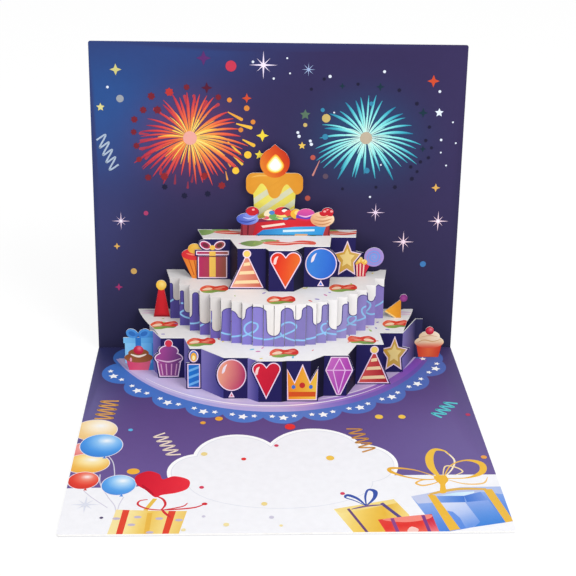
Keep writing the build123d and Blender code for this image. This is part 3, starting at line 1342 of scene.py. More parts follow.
SKY_STARS = {
    "#d9d28a": ((-94.6, 135.5, 2.3),), "#f8e04a": ((-10.2, 110.5, 2.6),), "#e3edfc": ((86.2, 134.1, 2.4),),
    "#e8c25a": ((12.7, 115.7, 2.1),), "#55705c": ((14.1, 132.4, 2.9),),
}
SKY_SPARKS = {
    "#76202f": ((-67.7, 141.5, 2.2), (-72.1, 134.2, 2), (-76.9, 129.1, 2), (-77.4, 122.4, 1.8),
        (-76.1, 115, 1.9), (-70.2, 97.8, 2), (-32.3, 141.3, 1.8), (-49, 146.4, 1.8), (-64.6, 134.3, 2.3)),
    "#b83434": ((-58.2, 143.8, 2.4),),
    "#8c262c": ((-61.5, 98.4, 2.3), (-39.9, 98.9, 2.1), (-30.5, 93.6, 2.2), (-74.9, 107.6, 1.7)),
    "#1a1a38": ((-61.4, 92.6, 1.7), (-50.8, 87.8, 1.8), (-38.2, 88.9, 1.8)),
    "#1a1834": ((23.8, 151.4, 1), (17.1, 146, 1), (41.9, 148.9, 1), (64.1, 145.9, 1.2), (73.9, 138.8, 1.2),
        (81.3, 126.3, 1.1), (79.7, 119, 1.1), (83, 115, 1), (81.6, 109.6, 1.1), (77.4, 107.3, 1.1),
        (72.2, 104.5, 1.1), (75.8, 101.9, 1), (73.1, 97.9, 1.3), (64, 93.2, 1.3), (53.6, 93.1, 1),
        (35.3, 92.1, 1)),
}
SKY_DOTS = {
    "#dfe6f4": ((-90.6, 146.1, 0.7), (26.9, 152.8, 0.85), (55.8, 155.6, 0.8), (88, 119.4, 0.7),
        (85.9, 145.4, 0.75), (93.9, 129, 0.5), (96.1, 117.7, 0.5), (88.2, 112.5, 0.5), (91.5, 105.4, 0.5),
        (50.5, 87.7, 0.6), (55.8, 105.5, 0.5), (29.6, 133.7, 0.5), (4, 162.1, 0.5), (5.6, 154.2, 0.5),
        (-3, 151.4, 0.6), (-14, 160, 0.7), (10.3, 122.8, 0.8), (11, 120.8, 0.9), (17.1, 118.3, 0.8),
        (17.7, 116.5, 0.9)),
    "#999ea6": ((-84.2, 140.1, 2),), "#c23650": ((-25.6, 157.7, 2.9),), "#a83c68": ((-71.8, 78, 1.3),),
    "#3584a8": ((23.4, 135, 1.1), (49.4, 138.6, 1.2), (25.1, 120.6, 1.6), (48.2, 102.3, 1.6)),
    "#3f78b4": ((81.6, 49.5, 1.7),), "#c9a05c": ((-79.2, 45, 1.7),),
    "#d98638": ((-26.4, 139.9, 1.3), (-17.2, 135.6, 1.5), (-13.8, 128.3, 1.3), (-20.3, 124, 1.3)),
    "#f4c63e": ((-16.5, 110.5, 2), (-23, 101.8, 1.9)), "#c9b06a": ((25.4, 130.6, 2.3), (14.2, 126.9, 1.1)),
    "#b9564a": ((18.7, 109.3, 1.4), (16.3, 86.8, 1.5)), "#5c4a5c": ((25.8, 99, 1.5),),
}
# Dashes at the ends of the fireworks' streaks: ink, width, and the two ends of each in turn, in millimetres
SKY_DASHES = (
    ("#e8a23a", 1.7, (-27.3, 133.5), (-20, 129.6)),
    ("#f0bc3e", 1.9, (-22.8, 127.3), (-15, 125.2), (-19.4, 118.8), (-13.4, 115.7)),
    ("#eebb42", 1.4, (-27.3, 117.6), (-20.9, 111.2), (-24.5, 109.9), (-19.6, 105.4)),
    ("#e0984a", 1, (-29.2, 109.6), (-25.9, 104.2), (-28.4, 101.5), (-27.5, 96.9)),
    ("#c9847c", 1, (22.4, 107.6), (18.9, 99.6)),
    ("#b43a48", 1.7, (-49.4, 137.4), (-50.1, 141.6), (-44.4, 138), (-45.2, 141.8), (-40.7, 134.4),
     (-38.8, 138.8), (-35.4, 135.2), (-32.4, 137.4), (-62.5, 132.6), (-66, 134.6)),
    ("#a8384e", 1.5, (-69.2, 121.2), (-74, 121.7), (-67.2, 119.2), (-73.6, 117.7), (-66.6, 115.1),
     (-74, 113.4), (-68.1, 111), (-71.2, 108.2)),
    ("#a8323c", 1.7, (-63.3, 103.8), (-63.4, 99.8), (-59.6, 101.9), (-60.8, 98.6), (-42.3, 100.5),
     (-40.2, 97.4)),
    ("#8a3048", 1.3, (-55.5, 99.6), (-55.9, 94.6), (-46, 99.7), (-46.7, 95.6), (-48.8, 95.7), (-49, 92.3)),
)


def spots_of(table: dict[str, tuple[Place, ...]], turn: float = 90.0) -> list[Spot]:
    """Reads a table that gives the place and reach of the spots of each ink."""
    return [Spot(x, y, reach, code, turn) for code, rows in table.items() for x, y, reach in rows]


@dataclass
class SkyPanel:
    """The back panel: a night sky with two fireworks, stars and a streamer."""

    shop: Workshop
    warm: Point = (-47.5, 119.4)
    cool: Point = (47.2, 120.1)
    burst: Point = (15.4, 156.3)
    burst_reach: float = 3.6
    disc_reach: Point = (3.7, 3.3)
    short_rays: float = 0.68
    core: Point = (0.11, 0.25)
    spacing: float = 6.0
    trim: float = 0.05

    def build(self) -> list[Object]:
        """Prints the panel.

        Returns:
            Its pieces.
        """
        face = main_front("folded_cover").based()
        page = Page(face, self.night(), self.spacing, self.trim)
        for code, width, *ends in SKY_DASHES:
            for start, end in zip(ends[::2], ends[1::2], strict=True):
                page.add_all(stroke([start, end], width, (0.35, 1)), code)
                page.add(oval(*end, 0.5 * width), code)
        film = Film("sky_print", page)
        streamer = self.shop.streamer("sky_streamer", face, (-95.2, 120.3), (-88, 102.3), (2.1, 2.45), 10,
            0.95, "#aebfd4")
        return [film.piece(self.shop.cover), *self.fireworks(face), *self.stars(face), streamer]

    def night(self) -> Dusk:
        """Mixes the sky's colours.

        Returns:
            The sky, blue on the left and violet on the right, with glows round the fireworks and a painted
            shadow of the cake low in the middle.
        """
        ground = Fade(("#2b294b", "#30294f", "#312852"), (0, 0), (0, 170))
        return Dusk(ground, (
            Glow("#254f8e", (-90, 138), (52, 40), 0.97),
            Glow("#28508f", (-101, 120), (20, 26), 0.85),
            Glow("#2c4682", (-52, 168), (46, 17), 0.75),
            Glow("#3a3f72", (-100, 70), (26, 42), 0.75),
            Glow("#382f5a", (100, 110), (22, 70), 0.6),
            Glow("#83345c", (self.warm[0] - 1, self.warm[1]), (24, 21), 0.75),
            Glow("#1f5880", self.cool, (25, 21), 0.75),
            # Painted shadow of the cake on the sky, low in the middle
            Glow("#1c1b34", (0, 12), (84, 46), 0.6),
        ))

    def fireworks(self, face: CardFace) -> list[Object]:
        """Prints the two fireworks, each with streaks of two lengths and a pale disc in the middle.

        Args:
            face: The back panel's front.

        Returns:
            The pieces.
        """
        reds = FireworkTree("red_streaks", ("#fed76a", "#f8a44c", "#ea6644", "#d64448", "#ad3048"))
        golds = FireworkTree("gold_streaks", ("#fff0a0", "#fed862", "#f8a648"))
        waters = FireworkTree("water_streaks", ("#effff8", "#b8f7f0", "#84e8e8", "#46b6ca", "#20709a"))
        foams = FireworkTree("foam_streaks", ("#ecfff2", "#c2f6ea", "#80dde0"))
        pieces = []
        for name, tree, middle, sizes in (
            ("red_firework", reds, self.warm, (46, 31.5, 0.1, 8.5, 0.84, 1.3, 0.18)),
            ("gold_firework", golds, self.warm, (26, 20, 0.12, 5, 0.84, 0.8, 0.1)),
            ("cool_firework", waters, self.cool, (37, 30.5, 0.1, 8.5, 0.8, 1.25, 0)),
            ("foam_firework", foams, self.cool, (19, 15, 0.12, 4, 0.8, 0.7, 0)),
        ):
            streaks, reach, start, drop, squash, width, lean = sizes
            spot = replace(face, shift=(face.shift[0] + middle[0], face.shift[1] + middle[1]))
            values = {"Streaks": streaks, "Reach": reach * MM, "Start": start, "Drop": drop * MM,
                "Squash": squash, "Width": width * MM, "Lean": lean, "Lift": STREAK_LIFT * MM}
            pieces.append(tree.bake(name, bpy.data.meshes.new(name), spot, self.shop.cover, values))
        discs = [Spot(*self.warm, self.disc_reach[0], "#eaa79c"),
            Spot(*self.cool, self.disc_reach[1], "#bcae98")]
        return pieces + [self.shop.stars("firework_discs", discs, face, DISC_LIFT, 14, 1.0)]

    def stars(self, face: CardFace) -> list[Object]:
        """Prints the single stars, sparkles and dots of the sky.

        Args:
            face: The back panel's front.

        Returns:
            The pieces.
        """
        sparkles = spots_of(SKY_SPARKLES)
        sparkles += [replace(s, reach=self.short_rays * s.reach, turn=45.0) for s in sparkles]
        sparkles += [Spot(*self.burst, self.burst_reach, "#9fb4dc", turn) for turn in (45, 90)]
        cores = [Spot(s.x, s.y, self.core[0] * s.reach + self.core[1], "#f6ecfa")
            for s in spots_of(SKY_SPARKLES)]
        return [
            self.shop.stars("sky_sparkles", sparkles, face, STAR_LIFT, 4, 0.1),
            self.shop.stars("sky_diamonds", spots_of(SKY_DIAMONDS), face, STAR_LIFT, 4, 0.4),
            self.shop.stars("sky_stars", spots_of(SKY_STARS), face, STAR_LIFT, 5, 0.48),
            self.shop.stars("sky_sparks", spots_of(SKY_SPARKS), face, STAR_LIFT, 7, 0.72),
            self.shop.stars("sky_dots", spots_of(SKY_DOTS) + cores, face, DISC_LIFT, 8, 1.0),
        ]


# Dots of the table by ink: place and reach of each, in millimetres
TABLE_DOTS = {
    "#eba63a": ((-39.3, 4.6, 1.4), (-31.3, 8.4, 2)),
    "#f4c650": ((50.3, 9.7, 2.1), (62.1, 9.6, 1.9), (22.5, -27.5, 2)),
    "#e63434": ((4.4, 0.5, 2.7), (-19, -28, 1.2)), "#5fb4e6": ((-75, -1.8, 1.2),),
    "#b8345c": ((96.5, 11.5, 1.3),),
    "#d8405e": ((-3, -16.5, 1.1), (26, -56.5, 1.1), (-38.5, -51, 1.1)),
    "#efd890": ((-38, -23.5, 1.6), (-10, -64, 1.4)),
    "#f3e2a6": ((-27, -79, 1.3), (-45.5, -82.5, 1), (-3, -80, 0.8)), "#5c5074": ((-81.9, -73.4, 0.8),),
    "#e9a04c": ((97, -27.5, 1.5),), "#cfcbdd": ((-37, -73, 0.8), (-7, -74, 1.1)),
}


@dataclass
class TablePanel:
    """The base panel: a scalloped cloth under the cake, and presents and balloons round a white cloud."""

    shop: Workshop
    centre: Point = (-3.2, 115.2)
    ring: float = 100.0
    scallop_radius: float = 11.6
    scallop_turn: float = 11.2
    first_turn: float = -53.5
    scallops: int = 11
    rear_scallops: tuple[Point, Point] = ((-79.2, 73.5), (82.0, 73.0))
    plate_centre: Point = (-2.0, 110.4)
    plate_radius: float = 95.4
    plate_turn: int = 63
    line_radius: float = 94.2
    spacing: float = 8.0
    trim: float = 0.02

    def build(self) -> list[Object]:
        """Prints the panel.

        Returns:
            Its pieces.
        """
        face = top_face("folded_cover")
        # The ground is darker towards the back panel and darkest at the left rear, paler along the left edge
        # and paler again at the right front. The fade is partly the print's own and partly painted shade from
        # the back panel. The dark patch at the left rear is painted shadow of the cake and the back panel.
        # The pale right front is partly painted light from the key lamp.
        ground = Dusk(Fade(("#463a6c", "#5d4682", "#6a5694"), (0, 80), (0, -42)), (
            Glow("#2a2f5c", (-95, 78), (34, 40), 0.8),
            Glow("#6b6a9c", (-99, 18), (14, 26), 0.7),
            Glow("#756aa2", (85, -15), (40, 40), 0.5),
        ))
        page = Page(face, ground, self.spacing, self.trim)
        self.cloth(page)
        self.cloud(page)
        self.balloons(page)
        self.left_gift(page)
        self.right_gifts(page)
        return [Film("table_print", page).piece(self.shop.cover), *self.confetti(face)]

    def round_cloth(self, turn: float, radius: float) -> Point:
        """Gives the point at a turn, in degrees, and a radius round the cloth's middle."""
        return self.centre[0] + radius * sin(radians(turn)), self.centre[1] - radius * cos(radians(turn))

    def plate_edge(self, turn: float) -> float:
        """Gives how far the plate's edge is from the cloth's middle.

        Args:
            turn: Degrees round the cloth.

        Returns:
            The distance, in millimetres.
        """
        aside, back = self.centre[0] - self.plate_centre[0], self.centre[1] - self.plate_centre[1]
        along_ray = aside * sin(radians(turn)) - back * cos(radians(turn))
        return sqrt(along_ray**2 - aside**2 - back**2 + self.plate_radius**2) - along_ray

    def cloth(self, page: Page) -> None:
        """Draws the blue scallops, the lilac plate and the white lines on it.

        Args:
            page: The panel's print.
        """
        blue = Fade(("#4272c4", "#587ecc", "#5069b4"), (-90, 0), (90, 0))
        turns = [self.first_turn + self.scallop_turn * k for k in range(self.scallops)]
        middles = [self.rear_scallops[0], *(self.round_cloth(t, self.ring) for t in turns),
            self.rear_scallops[1]]
        page.add(middles, blue)
        for middle in middles:
            page.add(oval(*middle, self.scallop_radius, steps=40), blue)
        for radius, inset, codes in (
            (2 * self.ring, 0, ("#bcaedc", "#b3aee2", "#c0b2e4", "#7c66bc", "#6e52ac")),
            (self.line_radius + 2.2, 1.6, ("#cabde6", "#cfc4ea", "#cdb8e4", "#9a74c8", "#8450b4")),
            (self.line_radius - 2.4, 4.6, ("#c4b8e4", "#dccdec", "#c9b0e2", "#c4b2de")),
        ):
            disc = [self.round_cloth(t, min(radius, self.plate_edge(t) - inset))
                    for t in range(-self.plate_turn, self.plate_turn + 1, 3)]
            page.add(disc, Fade(codes, (-80, 0), (80, 25)), 6.0)
        for first, last, radius, width, code in ((-46, 44, self.line_radius, 0.9, "#fbf6fd"),
                (10, 40, self.line_radius - 3.2, 0.7, "#f1e6f8")):
            line = [self.round_cloth(t, radius) for t in range(first, last, 2)]
            page.add_all(stroke(line, width, (0.2, 0.2)), code)

    def cloud(self, page: Page) -> None:
        """Draws the white front of the panel and the cloud that rises from it.

        Args:
            page: The panel's print.
        """
        # The rim runs on under the balloons, so it is cut fine enough not to show through their fades
        rim = [(-101, -51), (-84, -50.6), (-76, -50.3), (-68, -49.9), (-40, -47), (40, -42.5), (101, -42)]
        front = [*flow(rim, steps=8), (101, -86), (-101, -86)]
        lobes = ((-40, -38.4, 14.2, 14.2), (-22.3, -27.4, 20.3, 20.2), (16, -26.4, 24.3, 24.4),
                 (38.3, -32.5, 15.4, 16), (-2, -47, 44, 21.5))
        for grown, code in ((0.9, "#ffffff"), (-0.9, "#e2e4ec"), (-1.3, "#f4f4f8")):
            for x, y, wide, high in lobes:
                page.add(oval(x, y, wide + grown, high + grown, steps=48), code)
            if grown > 0:
                page.add(front, "#f4f4f8")

    def balloon(self, page: Page, x: float, y: float, wide: float, high: float, turn: float,
                codes: Inks) -> None:
        """Draws one balloon.

        Args:
            page: The print.
            x: Middle, across.
            y: Middle, upwards.
            wide: Half its width.
            high: Half its height.
            turn: Degrees that it leans to the left.
            codes: Its colours from the shine outwards.
        """
        body = oval(x, y, wide, high, turn, 36)
        page.add(grow(body, 0.35), "#f3e9ee")
        shine = (x + 0.22 * wide, y + 0.42 * high)
        page.add(body, Bloom(codes, shine, (1.5 * wide, 1.5 * high)), 1.2)
        spot = (0.42 * wide, 0.3 * high)
        page.add(oval(*shine, *spot, turn), Bloom(("#fdfeff", hex_code(along(codes, 0.24))), shine, spot),
            0.9)
        knot = (x + 0.25 * wide, y - high)
        page.add(moved([(-0.9, -1.2), (0.9, -1.2), (0, 0.8)], *knot), codes[-1])

    def balloons(self, page: Page) -> None:
        """Draws the bunch of balloons, their strings and the red heart.

        Args:
            page: The panel's print.
        """
        for line in (
            [(-84, -24), (-81, -30), (-79.5, -38), (-79, -44)],
            [(-86, -40), (-85, -48), (-80.5, -58), (-76.5, -66), (-75.5, -78)],
            [(-73.5, -58), (-75, -64), (-75.5, -72)],
            [(-92, -53), (-88, -58), (-80, -66)],
        ):
            page.line(line, 0.5, "#d5d2e0")
        blue = ("#e4f3ff", "#8cc4f6", "#4a98e6", "#3580d4")
        gold = ("#fff6da", "#fbe3a0", "#f3bd55", "#eda93f")
        for x, y, wide, high, turn, codes in (
            (-92.4, -1.6, 10.7, 9.4, 0, ("#fffaf0", "#fdeccb", "#f6d394", "#f0c47c")),
            (-97.5, -20, 5.2, 6.4, 0, ("#f7b9b4", "#ee8f8a", "#e06f70")),
            (-93.2, -31, 10.6, 8, 0, gold),
            (-88, -15.6, 10.2, 10, -10, blue),
            (-93.2, -44.8, 7, 6.7, 8, ("#fbd0c2", "#ef7560", "#e2402f", "#cf3328")),
            (-76.6, -48.6, 7.8, 7.8, -12, ("#eef8ff", "#a4d2f8", "#58a3ea", "#468cdc")),
        ):
            self.balloon(page, x, y, wide, high, turn, codes)
        page.add(oval(-70.8, -37.7, 3.0, 2.4), "#efb13d")
        heart = flow([(-69.3, -41.6), (-63.8, -37.6), (-58.6, -40), (-56.6, -44.2), (-51.4, -41.8),
            (-44.6, -44.9), (-44.7, -51.4), (-49.6, -54.9), (-56.3, -56.6), (-59.4, -58.3), (-63.9, -52.8),
            (-68.4, -48.2)], closed=True)
        page.add(heart, Fade(("#d3162f", "#ea2f3e"), (-69, -45), (-45, -47)))
        page.line([(-66, -48.5), (-63.5, -52), (-59.8, -56.8)], 1.6, "#b90f2a", (0.1, 0.1))

    def left_gift(self, page: Page) -> None:
        """Draws the yellow present with red ribbons in the left front corner.

        Args:
            page: The panel's print.
        """
        box = [(-76, -67.4), (-60, -68.4), (-44.5, -68.8), (-47.5, -85.5), (-78.3, -85.5)]
        page.add(box, Fade(("#f6e3a2", "#f7e4a0", "#efc75c", "#f5dc90", "#efc763"), (-77, -72), (-45, -78)),
            2.5)
        page.add([(-62, -70), (-59.8, -70), (-60.4, -85.5), (-62.6, -85.5)], "#e9b748")
        for x, y in ((-68.3, -78.5), (-60, -84), (-56.5, -74.2), (-75.3, -74), (-47.8, -75.4), (-66, -73)):
            page.add(oval(x, y, 1.7, 0.9), "#c3b6cc")
        page.add([(-73, -67.6), (-70, -67.8), (-71.7, -85.5), (-74.5, -85.5)], "#e2452f")
        page.add([(-52.6, -68.6), (-49.4, -68.7), (-51.9, -85.5), (-54.7, -85.5)], "#e2452f")
        page.add([(-62, -68.3), (-58.2, -59.5), (-60.2, -59.2), (-64, -68)], "#e9c04f")
        for line, width in (
            ([(-56, -68), (-62, -67), (-66.5, -64), (-66, -61), (-62.5, -60)], 1),
            ([(-56, -68), (-50, -66.6), (-46, -65), (-44.5, -62.8)], 0.8),
            ([(-56, -68), (-48, -67.4), (-41, -66.2), (-36.6, -63.6)], 1),
            ([(-58.8, -57.4), (-55.6, -60), (-54.4, -64), (-56, -68)], 1.2),
            ([(-56, -67), (-54, -70.5), (-51.5, -73.5)], 1.3),
        ):
            page.line(line, width, "#d52f38", (0.6, 0.5))
        page.add(oval(-36.8, -63.6, 1.3, 1.0), "#d52f38")

    def right_gifts(self, page: Page) -> None:
        """Draws the yellow, red and blue presents in the right front corner.

        Args:
            page: The panel's print.
        """
        page.add([(21, -68.2), (49, -61), (54.5, -73), (52, -85.5), (28.5, -85.5)],
                 Fade(("#fbeaa8", "#f2cf66", "#e9b840", "#f6dd8c"), (22, -70), (53, -78)), 3.0)
        page.add([(21, -68.2), (49, -61), (50.2, -64), (24, -71.5)], "#f5dc8a")
        page.add_all(stroke([(27.5, -68), (34.5, -85.5)], 1.3), "#6d4b78")
        page.add_all(stroke([(43, -64), (51, -76)], 1.8), "#5c4a84")
        knot = (36, -66, 0.5)
        for loop in (
            [(31, -62, 0.6), (27, -59.5, 0.9), (28.5, -57.8, 1.8), (32.5, -60.5, 1.5)],
            [(36.2, -59, 1), (38, -53.8, 1.2), (41, -55, 2.3), (40.2, -60, 1.6)],
        ):
            page.add_all(ribbon(flow([knot, *loop, knot])), "#3a55a8")
        page.line([(29, -68.4), (36, -66.2), (44, -65.2)], 1.2, "#7b5f8c", (0.3, 0.3))
        self.blue_gift(page)
        page.add([(40, -76.2), (64.6, -72.4), (66, -85.5), (42.6, -85.5)],
                 Fade(("#e2453c", "#e2352f", "#ee6a58"), (52, -75), (54, -86)), 2.0)
        page.add([(61.2, -73), (64.6, -72.4), (66, -85.5), (62.2, -85.5)],
                 Fade(("#bf1c3a", "#d63a50", "#ee8a8c"), (63, -73), (64, -86)), 2.0)
        page.blob([(42, -76.2), (52, -78.2), (62.5, -76), (64, -72.8), (53, -74)], "#f3897c")
        page.add([(59.7, -73.4), (61.3, -73.1), (62.5, -85.5), (61, -85.5)], "#7d3f86")
        page.add([(45.6, -75.5), (47.2, -75.2), (48.6, -85.5), (47, -85.5)], "#8d4888")
        page.blob([(52, -85), (54, -81.5), (57, -83), (56, -85.4)], "#f7c9c0")

    def blue_gift(self, page: Page) -> None:
        """Draws the large blue present and its gold bow.

        Args:
            page: The panel's print.
        """
        blue = Fade(("#9db6ec", "#6f98e2", "#4a80d8"), (62, -60), (70, -85))
        page.add([(57.2, -59), (81, -52), (101, -51.7), (101, -78), (81.9, -82.1), (69, -85.5),
                  (65.6, -85.5)], blue, 3.5)
        for codes, start, end, outline in (
            (("#c6cdea", "#aebfe8"), (60, -60), (100, -55),
             [(57.2, -59), (81, -52), (101, -51.7), (101, -58), (89.8, -55.8), (81.6, -58.9),
              (68.9, -58.9), (66, -64), (59.6, -64.6)]),
            (("#bfe3fb", "#dcf0ff"), (70, -58), (87, -56),
             [(70.6, -58.6), (78.3, -56.2), (87, -55.5), (86.8, -56.6), (81.6, -58.7)]),
            (("#7fa2e2", "#4478d0"), (69, -61), (81.5, -61),
             [(68.9, -58.9), (81.6, -58.9), (81.3, -63.8), (70.1, -64)]),
            (("#4478d0", "#7899e0"), (82, -61), (91, -59),
             [(81.6, -58.9), (89.8, -55.8), (92, -62.4), (82.2, -64.2)]),
            (("#d9e0f6", "#b4c6f0", "#6c97e2"), (73, -64), (80, -81),
             [(70.1, -64), (81.3, -63.8), (85.3, -78.4), (82, -82.1), (75, -83.5)]),
            (("#6f98e4", "#5a8ade"), (72, -70), (77, -83),
             [(71.7, -70), (74.4, -70.8), (76.8, -75.4), (78.2, -83), (75, -83.5)]),
            (("#8ba8e8", "#5f92de", "#3b80d6"), (88, -63), (91, -81),
             [(81.3, -63.8), (92, -62.4), (97, -78.9), (82, -82.1), (85.3, -78.4)]),
        ):
            page.add(outline, Fade(codes, start, end), 2.5)
        page.add([(64.9, -57.6), (68.5, -58.2), (75.5, -83.4), (70.7, -84.6)], "#ecb93f")
        page.add([(91.4, -53.8), (95.6, -53.8), (100.4, -78), (96.6, -79)], "#e8b845")
        page.line([(66, -57.6), (72, -55.4), (81, -53.4), (93, -53.8)], 1.9, "#dfb157", (0.7, 0.8))
        loops = (
            ("#fbeccb", (79, -22.2, 0.9), (82.2, -29.5, 0.9), (80, -37, 0.8), (75, -44, 0.7)),
            ("#efc046", (73, -44.5, 1.4), (70.2, -36, 3.6), (70.6, -27, 3.9), (74, -20.8, 2.4), (79, -22, 1),
             (80.6, -26, 0.4)),
            ("#edba3f", (75, -43.5, 0.6), (80, -34, 0.7), (88, -30, 1.2), (94.6, -33, 3.2), (93.6, -40, 3),
             (86, -44.5, 1), (75.5, -45, 0.6)),
            ("#e9b140", (72, -44, 0.6), (62, -38, 0.8), (51.5, -36.2, 1.8), (50.2, -39, 2.1),
             (57, -43.5, 1.1), (66, -45.8, 0.9), (72.5, -45, 0.7)),
            ("#eeb855", (72.5, -45.5, 0.4), (65, -46, 0.8), (61, -48.5, 1.1), (64, -50.5, 1.1),
             (70, -48.6, 0.7), (73, -46, 0.4)),
            ("#f0c276", (76, -46, 0.4), (84, -49.5, 0.9), (92.5, -49, 1), (95.5, -44, 0.3)),
            ("#f7dca6", (74.5, -43, 0.4), (77, -35, 0.8), (82, -36, 0.9), (84.5, -39.5, 0.8),
             (80, -42.5, 0.3)),
        )
        for code, *line in loops:
            page.add_all(ribbon(flow(line)), code)
        page.blob([(70.4, -43), (75.5, -42.5), (76.5, -46.5), (74.5, -50), (74, -56), (71, -56.4), (72, -50),
            (70.5, -46.5)], "#efb93c")

    def confetti(self, face: CardFace) -> list[Object]:
        """Prints the scallops' stars, the dots and the streamers.

        Args:
            face: The base panel's top.

        Returns:
            The pieces.
        """
        stars = [Spot(x, y - 2.0, 2.0, "#ffffff") for x, y in self.rear_scallops]
        for k in range(self.scallops):
            for side, reach, radius in ((-3.1, 1.75, 104.8), (0, 2.8, 106.2), (3.1, 1.75, 104.8)):
                turn = self.first_turn + self.scallop_turn * k + side
                stars.append(Spot(*self.round_cloth(turn, radius), reach, "#ffffff", 80.0 + turn))
        frost = [Spot(-90.1, -63.6, reach, "#dfe2ee", turn) for reach, turn in ((6.4, 90), (4.8, 45))]
        shop = self.shop
        pieces = [
            shop.stars("cloth_stars", stars, face, STAR_LIFT, 5, 0.5),
            shop.stars("table_dots", spots_of(TABLE_DOTS), face, STAR_LIFT, 8, 1.0),
            shop.stars("table_frost", frost, face, STAR_LIFT, 4, 0.12),
        ]
        for name, start, end, swing, turns, width, code in (
            ("gold_streamer", (-87.8, 27), (-89.5, 8.2), (-4.5, 0.9), 10, 1.25, "#e0a458"),
            ("cream_streamer", (-60.8, -5.5), (-52.2, -24.7), (-3, -1), 11, 1.1, "#f6e2d0"),
            ("brown_streamer", (36.1, -0.8), (42, -21.8), (3.5, 0.8), 11, 1.1, "#d2954a"),
            ("teal_streamer", (90.3, 23.9), (79.6, 10.1), (-2.8, 1.4), 9, 1.4, "#5fccd6"),
        ):
            pieces.append(shop.streamer(name, face, start, end, swing, turns, width, code))
        return pieces


def heart_outline(width: float, height: float) -> Loop:
    """Draws a heart that stands on its tip at the origin.

    Args:
        width: Its width.
        height: Its height.

    Returns:
        The outline.
    """
    lobe = 0.27 * width
    side = width / 2 - lobe
    first, last = radians(-30), acos(-side / lobe)
    steps = 14
    turns = [first + (last - first) * i / steps for i in range(steps + 1)]
    right = [(side + lobe * cos(a), height - lobe + lobe * sin(a)) for a in turns]
    left = [(-x, y) for x, y in right[:-1]][::-1]
    return [(0, 0), *right, *left]


def motif_shapes(motif: Motif, width: float, height: float) -> list[Loop]:
    """Gives the outlines that a block or figure is cut to, standing on the origin.

    Args:
        motif: Which shape.
        width: Its width.
        height: Its height.

    Returns:
        Outlines that overlap to make the shape.
    """
    w, h, half = width, height, width / 2
    sized = partial(moved, x=0, y=0, scale=(w, h))
    if motif is Motif.STAR:
        rise, reach = h / (1 + cos(radians(36))), half / cos(radians(18))
        turns = [(radians(90 + 36 * i), 1 if i % 2 == 0 else 0.52) for i in range(10)]
        return [[(reach * s * cos(a), rise * (cos(radians(36)) + s * sin(a))) for a, s in turns]]
    if motif is Motif.HEART:
        return [heart_outline(w, h)]
    if motif is Motif.BALLOON:
        return [sized([(-0.16, 0), (0.16, 0), (0, 0.24)]), oval(0, 0.58 * h, half, 0.42 * h)]
    if motif is Motif.GIFT:
        bows = [oval(0.2 * side * w, 0.85 * h, 0.21 * w, 0.13 * h, 25 * side) for side in (-1, 1)]
        return [*bows, sized(bar(-0.45, 0, 0.45, 0.62)), sized(bar(-0.5, 0.58, 0.5, 0.74))]
    if motif is Motif.HAT:
        pom = 0.13 * h
        shoulder = h - 1.4 * pom
        return [[(-half, 0), (half, 0), (0.5 * pom, shoulder), (-0.5 * pom, shoulder)], oval(0, h - pom, pom)]
    if motif is Motif.CUPCAKE:
        return [sized([(-0.34, 0), (0.34, 0), (0.44, 0.45), (-0.44, 0.45)]), oval(0, 0.5 * h, half, 0.2 * h),
            oval(0, 0.68 * h, 0.36 * w, 0.18 * h), oval(0, 0.87 * h, 0.13 * h)]
    if motif is Motif.TAPER:
        return [sized(bar(-0.5, 0, 0.5, 0.66)), oval(0, 0.82 * h, 0.4 * w, 0.18 * h)]
    if motif is Motif.CROWN:
        return [sized([(-0.5, 0), (0.5, 0), (0.5, 0.86), (0.25, 0.55), (0, 1), (-0.25, 0.55), (-0.5, 0.86)])]
    return [sized([(-0.1, 0), (0.1, 0), (0.5, 0.64), (0.31, 1), (-0.31, 1), (-0.5, 0.64)])]


